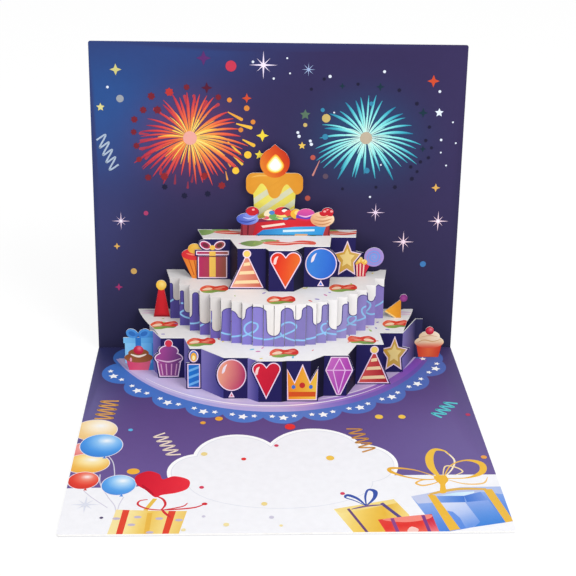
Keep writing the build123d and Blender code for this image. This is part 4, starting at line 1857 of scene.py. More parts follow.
def motif_details(motif: Motif, width: float, height: float) -> list[tuple[Loop, str]]:
    """Gives what is drawn over a block's fading colour.

    Args:
        motif: Which shape.
        width: The block's width.
        height: Its height.

    Returns:
        Outlines with their inks.
    """
    w, h = width, height
    sized = partial(moved, x=0, y=0, scale=(w, h))
    if motif is Motif.GIFT:
        return [(sized(bar(-0.09, 0.06, 0.09, 0.7)), "#f1c25a"),
            (sized(bar(-0.43, 0.56, 0.43, 0.585)), "#5c1f3c"),
            (oval(-0.2 * w, 0.85 * h, 0.09 * w, 0.05 * h, -25), "#6d2a3e"),
            (oval(0.2 * w, 0.85 * h, 0.09 * w, 0.05 * h, 25), "#5f3630"),
            (oval(0, 0.79 * h, 0.08 * w, 0.06 * h), "#f1c25a")]
    if motif is Motif.HAT:
        bands = []
        for low in (0.13, 0.36, 0.57):
            reach = 0.5 * w * (1 - low / 0.86) - 1.5
            bands.append(([(-reach, low * h), (reach, (low + 0.02) * h), (0.82 * reach, (low + 0.1) * h),
                (-0.82 * reach, (low + 0.08) * h)], "#f7d9a8"))
        return bands + [(oval(0, 0.87 * h, 0.075 * h), "#f6d26a")]
    if motif is Motif.BALLOON:
        shine = sized([(-0.3, 0.62), (-0.26, 0.76), (-0.14, 0.85), (-0.18, 0.76), (-0.22, 0.66)])
        return [(flow(shine, closed=True), "#f4e6ee")]
    if motif is Motif.HEART:
        shine = sized([(-0.36, 0.68), (-0.33, 0.82), (-0.22, 0.87), (-0.26, 0.78), (-0.29, 0.68)])
        return [(flow(shine, closed=True), "#f9d3cc")]
    if motif is Motif.STAR:
        return [(moved(motif_shapes(motif, 0.46 * w, 0.46 * h)[0], 0, 0.27 * h), "#f4d88c")]
    if motif is Motif.CROWN:
        jewels = ((0, 0.4, 0.09, 0.07, "#c9302c"), (-0.27, 0.36, 0.06, 0.05, "#3f74c8"),
                  (0.27, 0.36, 0.06, 0.05, "#3f74c8"))
        return [(sized(bar(-0.42, 0.12, 0.42, 0.24)), "#d9541f"),
            *((oval(x * w, y * h, wide * w, high * h), code) for x, y, wide, high, code in jewels)]
    if motif is Motif.GEM:
        crease = [[(-0.43, 0.64), (0.43, 0.64)], [(-0.2, 0.64), (0, 0.07)], [(0.2, 0.64), (0, 0.07)],
            [(-0.2, 0.64), (0, 0.93)], [(0.2, 0.64), (0, 0.93)]]
        return [(quad, "#ecc1e8") for line in crease for quad in stroke(sized(line), 0.55)]
    if motif is Motif.TAPER:
        bands = [(sized([(-0.34, low), (0.34, low + 0.1), (0.34, low + 0.16), (-0.34, low + 0.06)]),
            "#6fb4ea") for low in (0.07, 0.25, 0.42)]
        return bands + [(oval(0, 0.8 * h, 0.2 * w, 0.11 * h), "#f7b13c"),
            (oval(0, 0.78 * h, 0.1 * w, 0.06 * h), "#fff2b0")]
    folds = [(stroke(sized([(x, 0.07), (1.28 * x, 0.36)]), 0.6)[0], "#d9a3c4")
        for x in (-0.2, -0.07, 0.07, 0.2)]
    swirl = stroke(flow(sized([(-0.4, 0.47), (0, 0.41), (0.4, 0.5)])), 0.8, (0.2, 0.2))
    return folds + [(quad, "#e6bfd8") for quad in swirl] + [(oval(0, 0.87 * h, 0.085 * h), "#d8364e")]


@dataclass(frozen=True)
class BlockInk:
    """One block's shape and the two colours that fade into each other on it."""

    motif: Motif
    first: str
    second: str


@dataclass
class BlockWall:
    """A folded strip of die-cut blocks: bright shapes with a pale rim on a dark ground, and dark sides."""

    shop: Workshop
    node: str
    blocks: tuple[BlockInk, ...]
    ground: str = "#211c56"
    rim: str = "#f3d9ec"
    rim_inset: float = 0.65
    fill_inset: float = 1.2
    lit_side: tuple[str, str] = ("#8a7fc4", "#3d3a86")
    dark_side: tuple[str, str] = ("#141230", "#0c0b20")
    lit_until: float = -12.0
    end_side: tuple[str, str] = ("#7d73b6", "#2c2950")
    end_from: float = 62.0

    def build(self) -> list[Object]:
        """Prints the wall.

        Returns:
            Its pieces.
        """
        fronts = [face.seated() for face in front_faces(self.node)]
        first = (len(fronts) - len(self.blocks)) // 2
        blocks = zip(fronts[first:first + len(self.blocks)], self.blocks, strict=True)
        pages = [self.block_page(face, block) for face, block in blocks]
        if first:
            pages += [self.present_page(fronts[0]), self.cake_page(fronts[-1])]
        sides = [face.seated() for face in card_faces(self.node) if self.shows(face)]
        pages += [Page(face, self.side_tint(face)) for face in sides]
        return [Film(f"{self.node}_print", *pages).piece(self.shop.card)]

    def shows(self, face: CardFace) -> bool:
        """Says whether a face is a side of the wall that is seen from in front or beside it.

        Args:
            face: The face.

        Returns:
            Whether it carries print.
        """
        aside = face.middle().x
        looks_out = face.normal.y < -OUTWARD or face.normal.x * aside > SIDEWAYS * abs(aside)
        upright = abs(face.normal.z) < UPRIGHT
        return abs(area(face.loops[0])) > LEAST_SIDE and upright and looks_out and not face.forward()

    def side_tint(self, face: CardFace) -> Tint:
        """Gives the colour of a side: violet at the ends of the bottom wall, else almost black.

        Args:
            face: The side.

        Returns:
            Its fade.
        """
        left, _, right, _ = face.box()
        aside = face.middle().x / MM
        codes = self.dark_side
        if self.node == "bottom_wall" and aside < self.lit_until:
            codes = self.lit_side
        elif self.node == "bottom_wall" and aside > self.end_from:
            codes = self.end_side
        return Fade(codes, (left, 0), (right, 0))

    def block_page(self, face: CardFace, block: BlockInk) -> Page:
        """Draws one block.

        Args:
            face: The block's front.
            block: Its shape and colours.

        Returns:
            The print.
        """
        width, height = face.size()
        page = Page(face, Flat(self.ground))
        shapes = motif_shapes(block.motif, width, height)
        for shape in shapes:
            page.add(grow(shape, -self.rim_inset), self.rim)
        tint = Fade((block.first, block.second), (-0.4 * width, 0.3 * height), (0.4 * width, 0.2 * height))
        for shape in shapes:
            page.add(grow(shape, -self.fill_inset), tint)
        for outline, code in motif_details(block.motif, width, height):
            page.add(outline, code)
        return page

    def present_page(self, face: CardFace) -> Page:
        """Draws the blue present and the pink cupcake at the wall's left end.

        Args:
            face: The figure's front.

        Returns:
            The print.
        """
        page = Page(face, Flat("#3f86c8"))
        low, high, wide = 4, 20, 16.0
        page.add(bar(-7.2, low, 7.2, low + 0.62 * high), Fade(("#8ccbf0", "#5fabe2"), (-7.2, 0), (7.2, 0)))
        page.add(bar(-8.0, low + 0.58 * high, 8.0, low + 0.74 * high),
            Fade(("#7cc0ec", "#4f9bd8"), (-8, 0), (8, 0)))
        page.add(bar(-1.5, low, 1.5, low + 0.74 * high), "#2f74c0")
        for side in (-1, 1):
            bow = oval(0.2 * side * wide, low + 0.85 * high, 0.21 * wide, 0.13 * high, 25 * side)
            page.add(grow(bow, -0.2), "#4a90d6")
            page.add(grow(bow, -1.3), "#2f6cb8")
        page.add(oval(0.0, low + 0.8 * high, 1.6, 1.3), "#3a7cc8")
        cup_width, cup_height = 15.5, 14.5
        cup, brim, icing, _ = motif_shapes(Motif.CUPCAKE, cup_width, cup_height)
        page.add(cup, Fade(("#d8446c", "#e76a86"), (-6, 0), (6, 0)))
        page.add(brim, Fade(("#8a4c26", "#a0603a"), (0, 9.5), (0, 5)))
        page.add(icing, "#94552f")
        page.line([(-4.2, 9.2), (0, 7.9), (4.2, 9.2)], 1.2, "#f5e6d2", (0.4, 0.4))
        page.add(oval(0.0, 0.8 * cup_height, 2.7, 2.5),
            Bloom(("#f08a98", "#d02a48", "#b81c3c"), (0.6, 12.6), (3.6, 3.6)), 0.7)
        page.add(oval(-4.2, 0.42 * cup_height, 0.6, 1.2), "#f0a0b4")
        return page

    def cake_page(self, face: CardFace) -> Page:
        """Draws the cream cupcake with a red cup at the wall's right end.

        Args:
            face: The figure's front.

        Returns:
            The print.
        """
        page = Page(face, Flat("#2b2950"))
        cup, brim, icing, cherry = motif_shapes(Motif.CUPCAKE, 16.5, 18.0)
        page.add(cup, Fade(("#d8402c", "#ec6a3c", "#d23a28"), (-7, 0), (7, 0)), 1.5)
        page.add(brim, Fade(("#e2503a", "#f0d0a8", "#f6e2c2"), (0, 5.4), (0, 12.6)), 1.2)
        page.add(icing, Fade(("#edc89c", "#f7e6cc"), (-5, 9), (5, 15)))
        page.line([(-7, 8.4), (-3, 10.2), (2, 9.4), (6.8, 10.6)], 0.7, "#d9a878", (0.2, 0.2))
        page.line([(-4.8, 12), (0, 12.8), (4.6, 12.2)], 0.6, "#dcb088", (0.2, 0.2))
        page.add(cherry, Bloom(("#f59aa0", "#d42a40", "#b01a34"), (0.6, 16.4), (3.2, 3.2)), 0.7)
        return page


@dataclass(frozen=True)
class Berry:
    """A slice of strawberry on its leaf, printed flat on a plate."""

    x: float
    y: float
    width: float = 15.0
    depth: float = 9.6
    flipped: bool = False

    def draw(self, page: Page) -> None:
        """Draws the slice.

        Args:
            page: The plate's print.
        """
        x, y = self.x, self.y
        put = partial(moved, x=x, y=y, scale=(-self.width if self.flipped else self.width, self.depth))
        body = flow([(-0.5, -0.12), (-0.46, 0.2), (-0.3, 0.46), (-0.12, 0.44), (0.04, 0.34), (0.2, 0.42),
            (0.38, 0.48), (0.5, 0.22), (0.48, -0.14), (0.3, -0.2), (0.02, -0.12), (-0.2, -0.2),
            (-0.42, -0.3)], closed=True)
        leaf = flow([(-0.48, -0.1), (-0.2, -0.2), (0.05, -0.1), (0.3, -0.14), (0.46, -0.06), (0.38, -0.34),
            (0.12, -0.38), (-0.1, -0.52), (-0.38, -0.46)], closed=True)
        flesh = flow([(-0.42, -0.12), (-0.3, 0.12), (-0.16, 0.18), (-0.06, 0.06), (-0.12, -0.1),
            (-0.3, -0.18)], closed=True)
        for outline in (leaf, body):
            page.add(grow(put(outline), 0.5), "#f4ece6")
        page.add(put(leaf), Fade(("#8fb04e", "#6f8f4c"), (x - 6, y), (x + 6, y)))
        page.add(put(body), Fade(("#ee6a4a", "#e0432f", "#d5352c"), (x - 7, y), (x + 7, y)))
        page.add(put(flesh), "#f9d9b8")
        for code, *shine in (
            ("#f0806a", (0.14, 0.2), (0.3, 0.32), (0.42, 0.22), (0.28, 0.12)),
            ("#f4a184", (0, 0), (0.14, 0.08), (0.3, 0.02), (0.16, -0.06)),
            ("#f2886c", (-0.34, 0.24), (-0.24, 0.36), (-0.12, 0.34), (-0.22, 0.26)),
        ):
            page.add(put(flow(shine, closed=True)), code)


@dataclass
class CakePlate:
    """The iced top of one tier: white icing with strawberry slices and sprinkles."""

    shop: Workshop
    node: str
    berries: tuple[Berry, ...]
    swirls: tuple[Point, ...] = ()
    corner_strokes: tuple[Point, ...] = ()
    icing: tuple[str, str] = ("#e9e6e4", "#f6f4f2")
    sprinkles: Inks = ("#e0503f", "#6fc3dc", "#e6d25e", "#d87fae", "#9fbf5a", "#8f7cc8")
    per_square_cm: float = 0.9
    smallest: float = 0.35
    largest: float = 0.65
    stretch: float = 2.2
    margin: float = 1.4
    seed: int = 3

    def build(self) -> list[Object]:
        """Prints the plate.

        Returns:
            Its pieces.
        """
        face = top_face(self.node)
        _, low, _, high = face.box()
        page = Page(face, Fade(self.icing, (0, high), (0, low)))
        for x, y in self.corner_strokes:
            for step, width, code in ((0, 2, "#e9c9dc"), (2.6, 1.4, "#d9b4d4")):
                page.line([(x - 7, y + step), (x, y + step + 0.6), (x + 7, y + step)], width, code,
                    (0.1, 0.1))
        for x, y in self.swirls:
            self.swirl(page, x, y)
        for berry in self.berries:
            berry.draw(page)
        film = Film(f"{self.node}_icing", page)
        name = f"{self.node}_sprinkles"
        sizes = {"Corners": 4, "Notch": 1.0, "Thickness": SPOT_FILM * MM,
            "Density": self.per_square_cm * SQUARE_CM, "Smallest": self.smallest * MM,
            "Largest": self.largest * MM, "Stretch": self.stretch, "Seed": self.seed}
        zone = zone_mesh(name, grow(face.outlines()[0], -self.margin), DUST_LIFT)
        bits = ScatterTree(name, self.sprinkles).bake(name, zone, face, self.shop.card, sizes)
        return [film.piece(self.shop.card), bits]

    def swirl(self, page: Page, x: float, y: float) -> None:
        """Draws a long red twist with green leaves.

        Args:
            page: The plate's print.
            x: Its place across.
            y: Its place upwards.
        """
        put = partial(moved, x=x, y=y)
        page.blob(put([(-20, -1), (-14, 3), (-7, 1.5), (-9, -2.5), (-14, -5)]),
            Fade(("#6f8f55", "#9dbb6c"), (x - 20, y), (x - 7, y)))
        page.blob(put([(-9, 3.5), (-3, 5), (1, 2), (-4, 0.5)]), "#8fb36a")
        twist = put([(-8, 0), (-2, 2.2), (6, 1), (13, 3.4), (20, 2), (20, -2.2), (12, -1.5), (4, -3.4),
            (-4, -2.4)])
        page.blob(twist, Fade(("#e98a78", "#dc4a3c", "#e2604a"), (x - 8, y), (x + 20, y)))
        page.line(put([(-5, -0.8), (3, -0.6), (10, 0.6), (17, 0.2)]), 1.1, "#f7d5c6", (0.1, 0.1))


@dataclass
class SlatRow:
    """The middle tier's ring of slats: lilac sponge with dripping icing and a looping pale line, with painted
    shadow on the slats to the left.
    """

    shop: Workshop
    node: str = "middle_tier"
    drips: tuple[Place, ...] = (
        (-55.0, 2.0, 10.5), (-48.5, 2.2, 7.5), (-39.2, 3.2, 6.5), (-33.0, 2.4, 4.0), (-20.0, 2.0, 14.0),
        (-3.0, 3.4, 6.0), (9.5, 2.0, 14.5), (20.0, 2.2, 11.0), (30.0, 3.5, 6.5), (40.0, 2.3, 11.0),
        (50.8, 1.7, 14.0))
    arches: tuple[float, ...] = (20.5, 20.0, 21.8, 15.5, 18.5, 21.8, 21.6, 21.9, 21.6, 19.5, 20.6, 19.8)
    outline: float = 0.45
    line_width: float = 0.95
    widest: float = 12.0
    foot_gap: float = 2.0
    half_span: float = 59.0

    def build(self) -> list[Object]:
        """Prints the slats.

        Returns:
            Its pieces.
        """
        icing = self.icing_edge()
        squiggle = stroke(self.squiggle(), self.line_width)
        pages = [self.slat_page(face.based(), icing, squiggle) for face in self.slats()]
        return [Film("slat_print", *pages).piece(self.shop.card)]

    def slats(self) -> list[CardFace]:
        """Gives the fronts of the slats, which are narrow and reach down to the plate under them."""
        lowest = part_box(self.node)[0].z + self.foot_gap * MM
        return [f for f in front_faces(self.node) if f.size()[0] < self.widest and f.foot() < lowest]

    def icing_edge(self) -> Loop:
        """Draws the icing's edge.

        Returns:
            An outline that is straight above the slats, with drips and arches below.
        """
        edge = [(-62, 40), (-62, self.arches[0])]
        for i, (x, half, tip) in enumerate(self.drips):
            before = -60.0 if i == 0 else self.drips[i - 1][0] + self.drips[i - 1][1]
            middle, span = (before + x - half) / 2, (x - half - before) / 2
            edge += [(middle - span * cos(pi * k / 8),
                self.arches[i] - min(span, 3.5) * (1 - sin(pi * k / 8))) for k in range(1, 8)]
            edge += [(x - half * cos(pi * k / 8), tip + half * (1 - sin(pi * k / 8))) for k in range(9)]
        edge += [(53.5, 18), (55.5, self.arches[-1]), (58, 18.5), (62, 18), (62, 40)]
        return edge

    def squiggle(self) -> Loop:
        """Draws the looping line.

        Returns:
            Its points.
        """
        return flow([(-60, 9), (-55, 12), (-51, 12.6), (-50, 9.5), (-53, 7), (-49, 4.4), (-43, 4.6),
            (-37, 8.5), (-34, 11.6), (-32, 10.5), (-33, 7), (-29, 4.2), (-23, 3.8), (-17, 5.6), (-12, 9),
            (-11.6, 12), (-14.6, 12.8), (-18, 10.4), (-17.6, 6.8), (-12.5, 4.4), (-6, 4), (0, 5.6), (7, 8.6),
            (9, 11), (6, 13.4), (1.8, 12.6), (0, 9.4), (2, 5.8), (8, 3.4), (15, 3.2), (21, 4.8), (27, 7),
            (28.4, 9.2), (26.4, 11), (23.2, 10.4), (22.4, 7.8), (25, 4.8), (31, 3.8), (36.5, 5.4), (41, 8),
            (41.8, 10), (39.4, 10.8), (37.2, 9), (38.4, 6.4), (43, 5.8), (48.6, 8.4), (50.6, 12), (48, 14),
            (45.2, 12.2), (46.4, 8.8), (51, 6.4), (56, 8), (60, 11)], steps=5)

    def slat_page(self, face: CardFace, icing: Loop, squiggle: list[Loop]) -> Page:
        """Draws one slat.

        Args:
            face: The slat's front.
            icing: The icing's outline across all slats.
            squiggle: The looping line's strokes.

        Returns:
            The print.
        """
        left, low, right, high = face.box()
        middle = (left + right) / 2
        share = (middle + self.half_span) / (2 * self.half_span)
        # The sponge and the icing darken towards the left: painted shadow that the slats further forward cast
        # on the ones set back to their left. The icing also pales towards its top.
        painted_shadow_sponge = along(("#4c4590", "#6d62b6", "#8a80ce", "#837ab9", "#988ec9", "#8a7cc6"), share)
        page = Page(face, Flat(hex_code(painted_shadow_sponge)))
        near = [q for q in squiggle if max(p[0] for p in q) > left and min(p[0] for p in q) < right]
        page.add_all(near, "#8fc4ef")
        page.add(grow(icing, self.outline), "#3a3178")
        painted_shadow_icing = along(("#bdb6b4", "#d2ccc8", "#eae6e3", "#efecea", "#efecea"), share)
        page.add(icing,
            Fade((hex_code(painted_shadow_icing), hex_code(mix(painted_shadow_icing, srgb("#ffffff"), 0.35))), (0, low), (0, high)))
        return page


@dataclass
class CutOuts:
    """The figures cut from the plates and folded up: two party hats, an ice cream and a box of popcorn."""

    shop: Workshop
    widest: float = 40.0
    over_slats: float = 10.0
    hat_size: float = 12.0
    pom_share: float = 0.18
    lolly_radius: float = 5.4
    box_gap: float = 0.9
    box_half: float = 3.0
    box_height: float = 11.5

    def build(self) -> list[Object]:
        """Prints the figures.

        Returns:
            Their piece.
        """
        hats = [f for f in front_faces("bottom_plate") if f.size()[0] < self.widest]
        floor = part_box("middle_tier")[0].z + self.over_slats * MM
        treats = [f for f in front_faces("middle_tier") if f.size()[0] < self.widest and f.foot() > floor]
        drawings = (self.red_hat, self.tilted_hat, self.ice_cream, self.popcorn)
        pages = [draw(face.seated()) for face, draw in zip(hats + treats, drawings, strict=True)]
        return [Film("figure_print", *pages).piece(self.shop.card)]

    def red_hat(self, face: CardFace) -> Page:
        """Draws the upright red hat.

        Args:
            face: The figure's front.

        Returns:
            The print.
        """
        width, height = face.size()
        page = Page(face, Fade(("#a81420", "#d42430", "#b81a26"), (-width / 2, 0), (width / 2, 0)), 1.5)
        page.add(oval(0.0, 0.87 * height, 0.14 * height),
            Bloom(("#fbe08a", "#eebc3e"), (0.5, 0.89 * height), (3, 3)), 0.8)
        page.add(bar(-width / 2, 0.0, width / 2, 0.9), "#8d0f1c")
        return page

    def tilted_hat(self, face: CardFace) -> Page:
        """Draws the orange hat that leans to the left.

        Args:
            face: The figure's front.

        Returns:
            The print.
        """
        left, _, right, high = face.box()
        page = Page(face, Fade(("#f2b13e", "#e39a2a", "#c97f22"), (left, 4), (right, 6)), 1.5)
        pom = self.pom_share * self.hat_size
        page.add(oval(right - pom, high - pom, pom + 0.05),
            Bloom(("#a64a94", "#7d2f78"), (right - pom, high - pom), (pom, pom)), 0.7)
        page.add_all(stroke([(left + 0.2, 4.2), (left + 6.4, 0.2)], 0.7), "#f8d58a")
        return page

    def ice_cream(self, face: CardFace) -> Page:
        """Draws the cone with a red band and a golden scoop.

        Args:
            face: The figure's front.

        Returns:
            The print.
        """
        width, height = face.size()
        half = width / 2
        page = Page(face, Fade(("#d9742c", "#e88a34", "#cf6a26"), (-half, 0), (half, 0)), 2.0)
        for x in (-0.55, -0.1, 0.35):
            page.add_all(stroke([(x * half, 0.66 * height), ((x + 0.45) * half * 0.5, 0.1 * height)], 0.5),
                "#b9581f")
        page.add(oval(0.0, 0.7 * height, half + 0.1, 0.17 * height + 0.1),
            Fade(("#d02c34", "#e4453e"), (-half, 0), (half, 0)))
        page.add(oval(0.0, 0.86 * height, 0.5 * half + 0.1, 0.14 * height + 0.1),
            Fade(("#e0a83e", "#f0c662"), (-3, 0), (3, 0)))
        page.line([(-4.5, 0.72 * height), (0, 0.68 * height), (4.5, 0.73 * height)], 0.8, "#f08a6a",
            (0.2, 0.2))
        return page

    def popcorn(self, face: CardFace) -> Page:
        """Draws the red box of popcorn and the lollipop behind it.

        Args:
            face: The figure's front.

        Returns:
            The print.
        """
        left, _, right, high = face.box()
        radius = self.lolly_radius
        disc = (right - radius, high - radius)
        page = Page(face, Fade(("#b81e3a", "#d22f46"), (left, 0), (right, 0)))
        page.add(oval(*disc, radius + 0.1), Bloom(("#8f9fe0", "#9a86cc", "#a78fd0"), disc, (radius, radius)),
            1.1)
        spiral = [(disc[0] + 0.42 * t * cos(1.7 * t), disc[1] + 0.42 * t * sin(1.7 * t))
            for t in [0.4 * k for k in range(1, 28)]]
        page.add_all(stroke(spiral, 0.8, (0.4, 0.4)), "#6f9be0")
        foot, top = left + self.box_gap + self.box_half, 0.65 * self.box_height
        for x in (-1.9, -0.3, 1.3):
            page.add([(foot + x, 0.3), (foot + x + 0.7, 0.3), (foot + 1.2 * x + 0.8, top),
                (foot + 1.2 * x, top)], "#f2c9b8")
        for x, y, reach in ((-2.3, 0.72, 1.5), (0, 0.88, 1.6), (2.3, 0.72, 1.5), (-1, 0.78, 1.4),
                (1.2, 0.78, 1.4)):
            page.add(oval(foot + x, y * self.box_height, reach), "#e9b64a")
            page.add(oval(foot + x + 0.3, y * self.box_height + 0.3, 0.6 * reach), "#f6d684")
        return page


@dataclass
class CandlePrint:
    """The candle: pale striped wax, a dripping golden cap and a flame."""

    shop: Workshop
    flame_middle: float = 38.6

    def build(self) -> list[Object]:
        """Prints the candle.

        Returns:
            Its piece.
        """
        face = main_front("candle").seated()
        page = Page(face, Fade(("#e6d85a", "#ebde6c", "#e2d258"), (-10, 0), (10, 0)), 3.0)
        for low in (-9, -1, 7, 15):
            page.add([(-12, low), (12, low + 17.0), (12, low + 20.6), (-12, low + 3.6)], "#d3d3b2")
        drip = flow([(-16, 34), (-16, 26), (-15.2, 21.5), (-12, 21.2), (-9.8, 24), (-7.2, 27.2), (-4.6, 25.2),
            (-2.6, 20.4), (0.2, 19), (2.8, 20.6), (4.6, 25), (6.8, 26.8), (9.2, 24.2), (12, 21), (15.2, 21.6),
            (16, 26), (16, 34)]) + [(0, 36.5)]
        page.add(drip, Fade(("#dc922b", "#e09c34", "#d88e28"), (-15, 20), (15, 34)), 2.5)
        page.line([(-12.6, 30.6), (-8, 31.6), (-3, 31.4)], 0.9, "#ecb658", (0.1, 0.1))
        heat = Fade(("#e0802a", "#d8541f", "#c43418"), (-7, 36), (7, 43))
        page.add(oval(0.0, self.flame_middle, 8.2), heat, 1.6)
        page.add([(-7.2, 42.4), (7.2, 42.4), (0, 49)], heat)
        core = flow([(0.2, 6.8), (3, 2.9), (4, -0.5), (2.6, -3.7), (0, -4.9), (-2.8, -3.7), (-4, -0.5),
            (-2.8, 2.9)], closed=True)
        for scale, code in ((1, "#f39a2c"), (0.9, "#fcd04c"), (0.79, "#fff0a8"), (0.62, "#fffdf2")):
            page.add(moved(core, 0.2, self.flame_middle - 1.4, (1.2 * scale, 0.88 * scale)), code)
        return [Film("candle_print", page).piece(self.shop.card)]


@dataclass
class SweetsPrint:
    """The row of sweets before the candle: frosted cakes, two wrapped bars and a heap of candy."""

    shop: Workshop
    half: float = 26.5
    tall: float = 16.0

    def build(self) -> list[Object]:
        """Prints the row.

        Returns:
            Its piece.
        """
        face = main_front("sweets_strip").seated()
        # The dark plum ground shows between the sweets as painted shade in the gaps between them
        page = Page(face, Flat("#7d2a4c"))
        self.heap(page)
        self.bars(page)
        self.cakes(page)
        return [Film("sweets_print", page).piece(self.shop.card)]

    def at(self, x: float, y: float) -> Point:
        """Gives a place on the strip from shares of its half width and height."""
        return x * self.half, y * self.tall

    def heap(self, page: Page) -> None:
        """Draws the heap of candy in the middle.

        Args:
            page: The strip's print.
        """
        for x, y, wide, high, code in (
            (-0.34, 0.72, 0.2, 0.18, "#f1e3c0"), (-0.2, 0.66, 0.14, 0.12, "#6fa65c"),
            (-0.06, 0.68, 0.13, 0.12, "#f0df7a"),
            (-0.1, 0.86, 0.17, 0.15, "#d8343c"), (0.02, 0.9, 0.1, 0.09, "#3a2a3c"),
            (-0.02, 0.87, 0.06, 0.05, "#f5ece4"),
            (0.08, 0.78, 0.1, 0.12, "#e2453e"), (0.22, 0.76, 0.12, 0.17, "#edb43a"),
            (0.24, 0.8, 0.06, 0.08, "#f8d77e"),
            (-0.28, 0.8, 0.06, 0.07, "#4f86c8"), (-0.4, 0.62, 0.07, 0.06, "#e0586a"),
            (0, 0.6, 0.06, 0.05, "#5fa0d8"),
        ):
            page.add(oval(*self.at(x, y), wide * self.half, high * self.tall), code)

    def bars(self, page: Page) -> None:
        """Draws the red and the blue wrapped bar, with plain pale stripes and a painted shadow along the
        strip's foot.

        Args:
            page: The strip's print.
        """
        red = [self.at(x, y)
            for x, y in ((-0.97, 0), (-0.4, 0), (0.6, 0.26), (0.62, 0.5), (0.1, 0.56), (-0.97, 0.4))]
        page.add(red, Fade(("#a81a2a", "#dc2f38", "#c9242f"), self.at(-0.9, 0.3), self.at(0.6, 0.4)), 3.0)
        blue = [self.at(x, y)
            for x, y in ((-0.66, -0.05), (-0.46, 0.2), (0.2, 0.31), (0.9, 0.34), (0.9, -0.05))]
        page.add(blue, Fade(("#2a7cc4", "#4aaee6", "#2f90d6"), self.at(-0.6, 0.1), self.at(0.9, 0.2)), 3.0)
        for code, stripe in (
            ("#9a3440", ((-0.95, -0.05), (-0.68, -0.05), (-0.6, 0.44), (-1, 0.46))),
            ("#a8343a", ((0.76, -0.05), (0.96, -0.05), (1, 0.36), (0.84, 0.36))),
            ("#6b1c2a", ((-0.9, -0.02), (-0.87, -0.02), (-0.88, 0.42), (-0.92, 0.42))),
            ("#6b1c2a", ((-0.79, -0.02), (-0.76, -0.02), (-0.74, 0.42), (-0.78, 0.42))),
            ("#741f2a", ((0.87, -0.02), (0.89, -0.02), (0.93, 0.34), (0.9, 0.34))),
            ("#f3d9cc", ((-0.5, 0.34), (-0.46, 0.27), (0, 0.38), (-0.03, 0.45))),
            ("#d8effa", ((-0.05, 0.12), (0.6, 0.16), (0.6, 0.23), (-0.05, 0.2))),
            # Dark band along the strip's foot: painted shadow under the sweets
            ("#17324e", ((-0.6, -0.05), (0.76, -0.05), (0.76, 0.03), (-0.6, 0.03))),
            ("#d9a878", ((0.18, -0.05), (0.44, -0.05), (0.46, 0.06), (0.2, 0.06))),
        ):
            page.add([self.at(x, y) for x, y in stripe], code)

    def cakes(self, page: Page) -> None:
        """Draws the frosted cakes at the ends and the pink one beside the heap.

        Args:
            page: The strip's print.
        """
        page.add(oval(*self.at(-0.78, 0.58), 0.23 * self.half, 0.21 * self.tall),
                 Fade(("#4a5cbc", "#93a2ea"), self.at(-0.9, 0.42), self.at(-0.65, 0.75)))
        page.add(oval(*self.at(-0.7, 0.72), 0.13 * self.half, 0.1 * self.tall), "#7f8ee0")
        page.add(oval(*self.at(0.42, 0.74), 0.19 * self.half, 0.21 * self.tall),
                 Fade(("#7a3fb4", "#c84a9c", "#e0569e"), self.at(0.4, 0.52), self.at(0.42, 0.95)), 1.2)
        for code, layer in (("#d42a4a", (0.5, 0.57)), ("#6b3fb0", (0.57, 0.68))):
            low, high = layer
            band = ((0.21, low + 0.05), (0.42, low), (0.63, low + 0.05), (0.62, high + 0.05), (0.42, high),
                (0.22, high + 0.05))
            page.add([self.at(x, y) for x, y in band], code)
        page.add(oval(*self.at(0.76, 0.58), 0.25 * self.half, 0.27 * self.tall),
                 Fade(("#dda070", "#f6dcb8"), self.at(0.6, 0.36), self.at(0.9, 0.8)))
        for x, y, wide, code in ((-0.78, 0.52, 0.36, "#3a49a4"), (-0.74, 0.64, 0.26, "#b4bef4"),
                (0.42, 0.71, 0.3, "#f0b4dc"), (0.76, 0.44, 0.36, "#c98a5e"), (0.76, 0.56, 0.4, "#c98a5e"),
                (0.76, 0.68, 0.3, "#d8a078")):
            line = [self.at(x - wide / 2, y), self.at(x, y - 0.05), self.at(x + wide / 2, y + 0.04)]
            page.line(line, 0.8, code, (0.2, 0.2))
        for x, y, wide, high in ((-0.68, 0.85, 0.125, 0.16), (0.84, 0.84, 0.09, 0.13),
                (0.92, 0.8, 0.09, 0.12), (0.78, 0.8, 0.09, 0.12)):
            page.add(oval(*self.at(x, y), wide * self.half, high * self.tall), "#c6222f")
            page.add(oval(*self.at(x + 0.02, y + 0.05), 0.03 * self.half, 0.035 * self.tall), "#f4a8a6")


@dataclass(frozen=True)
class Lamp:
    """A soft square lamp: where it hangs and its side in metres, and its power in watts."""

    name: str
    place: Place
    side: float
    power: float


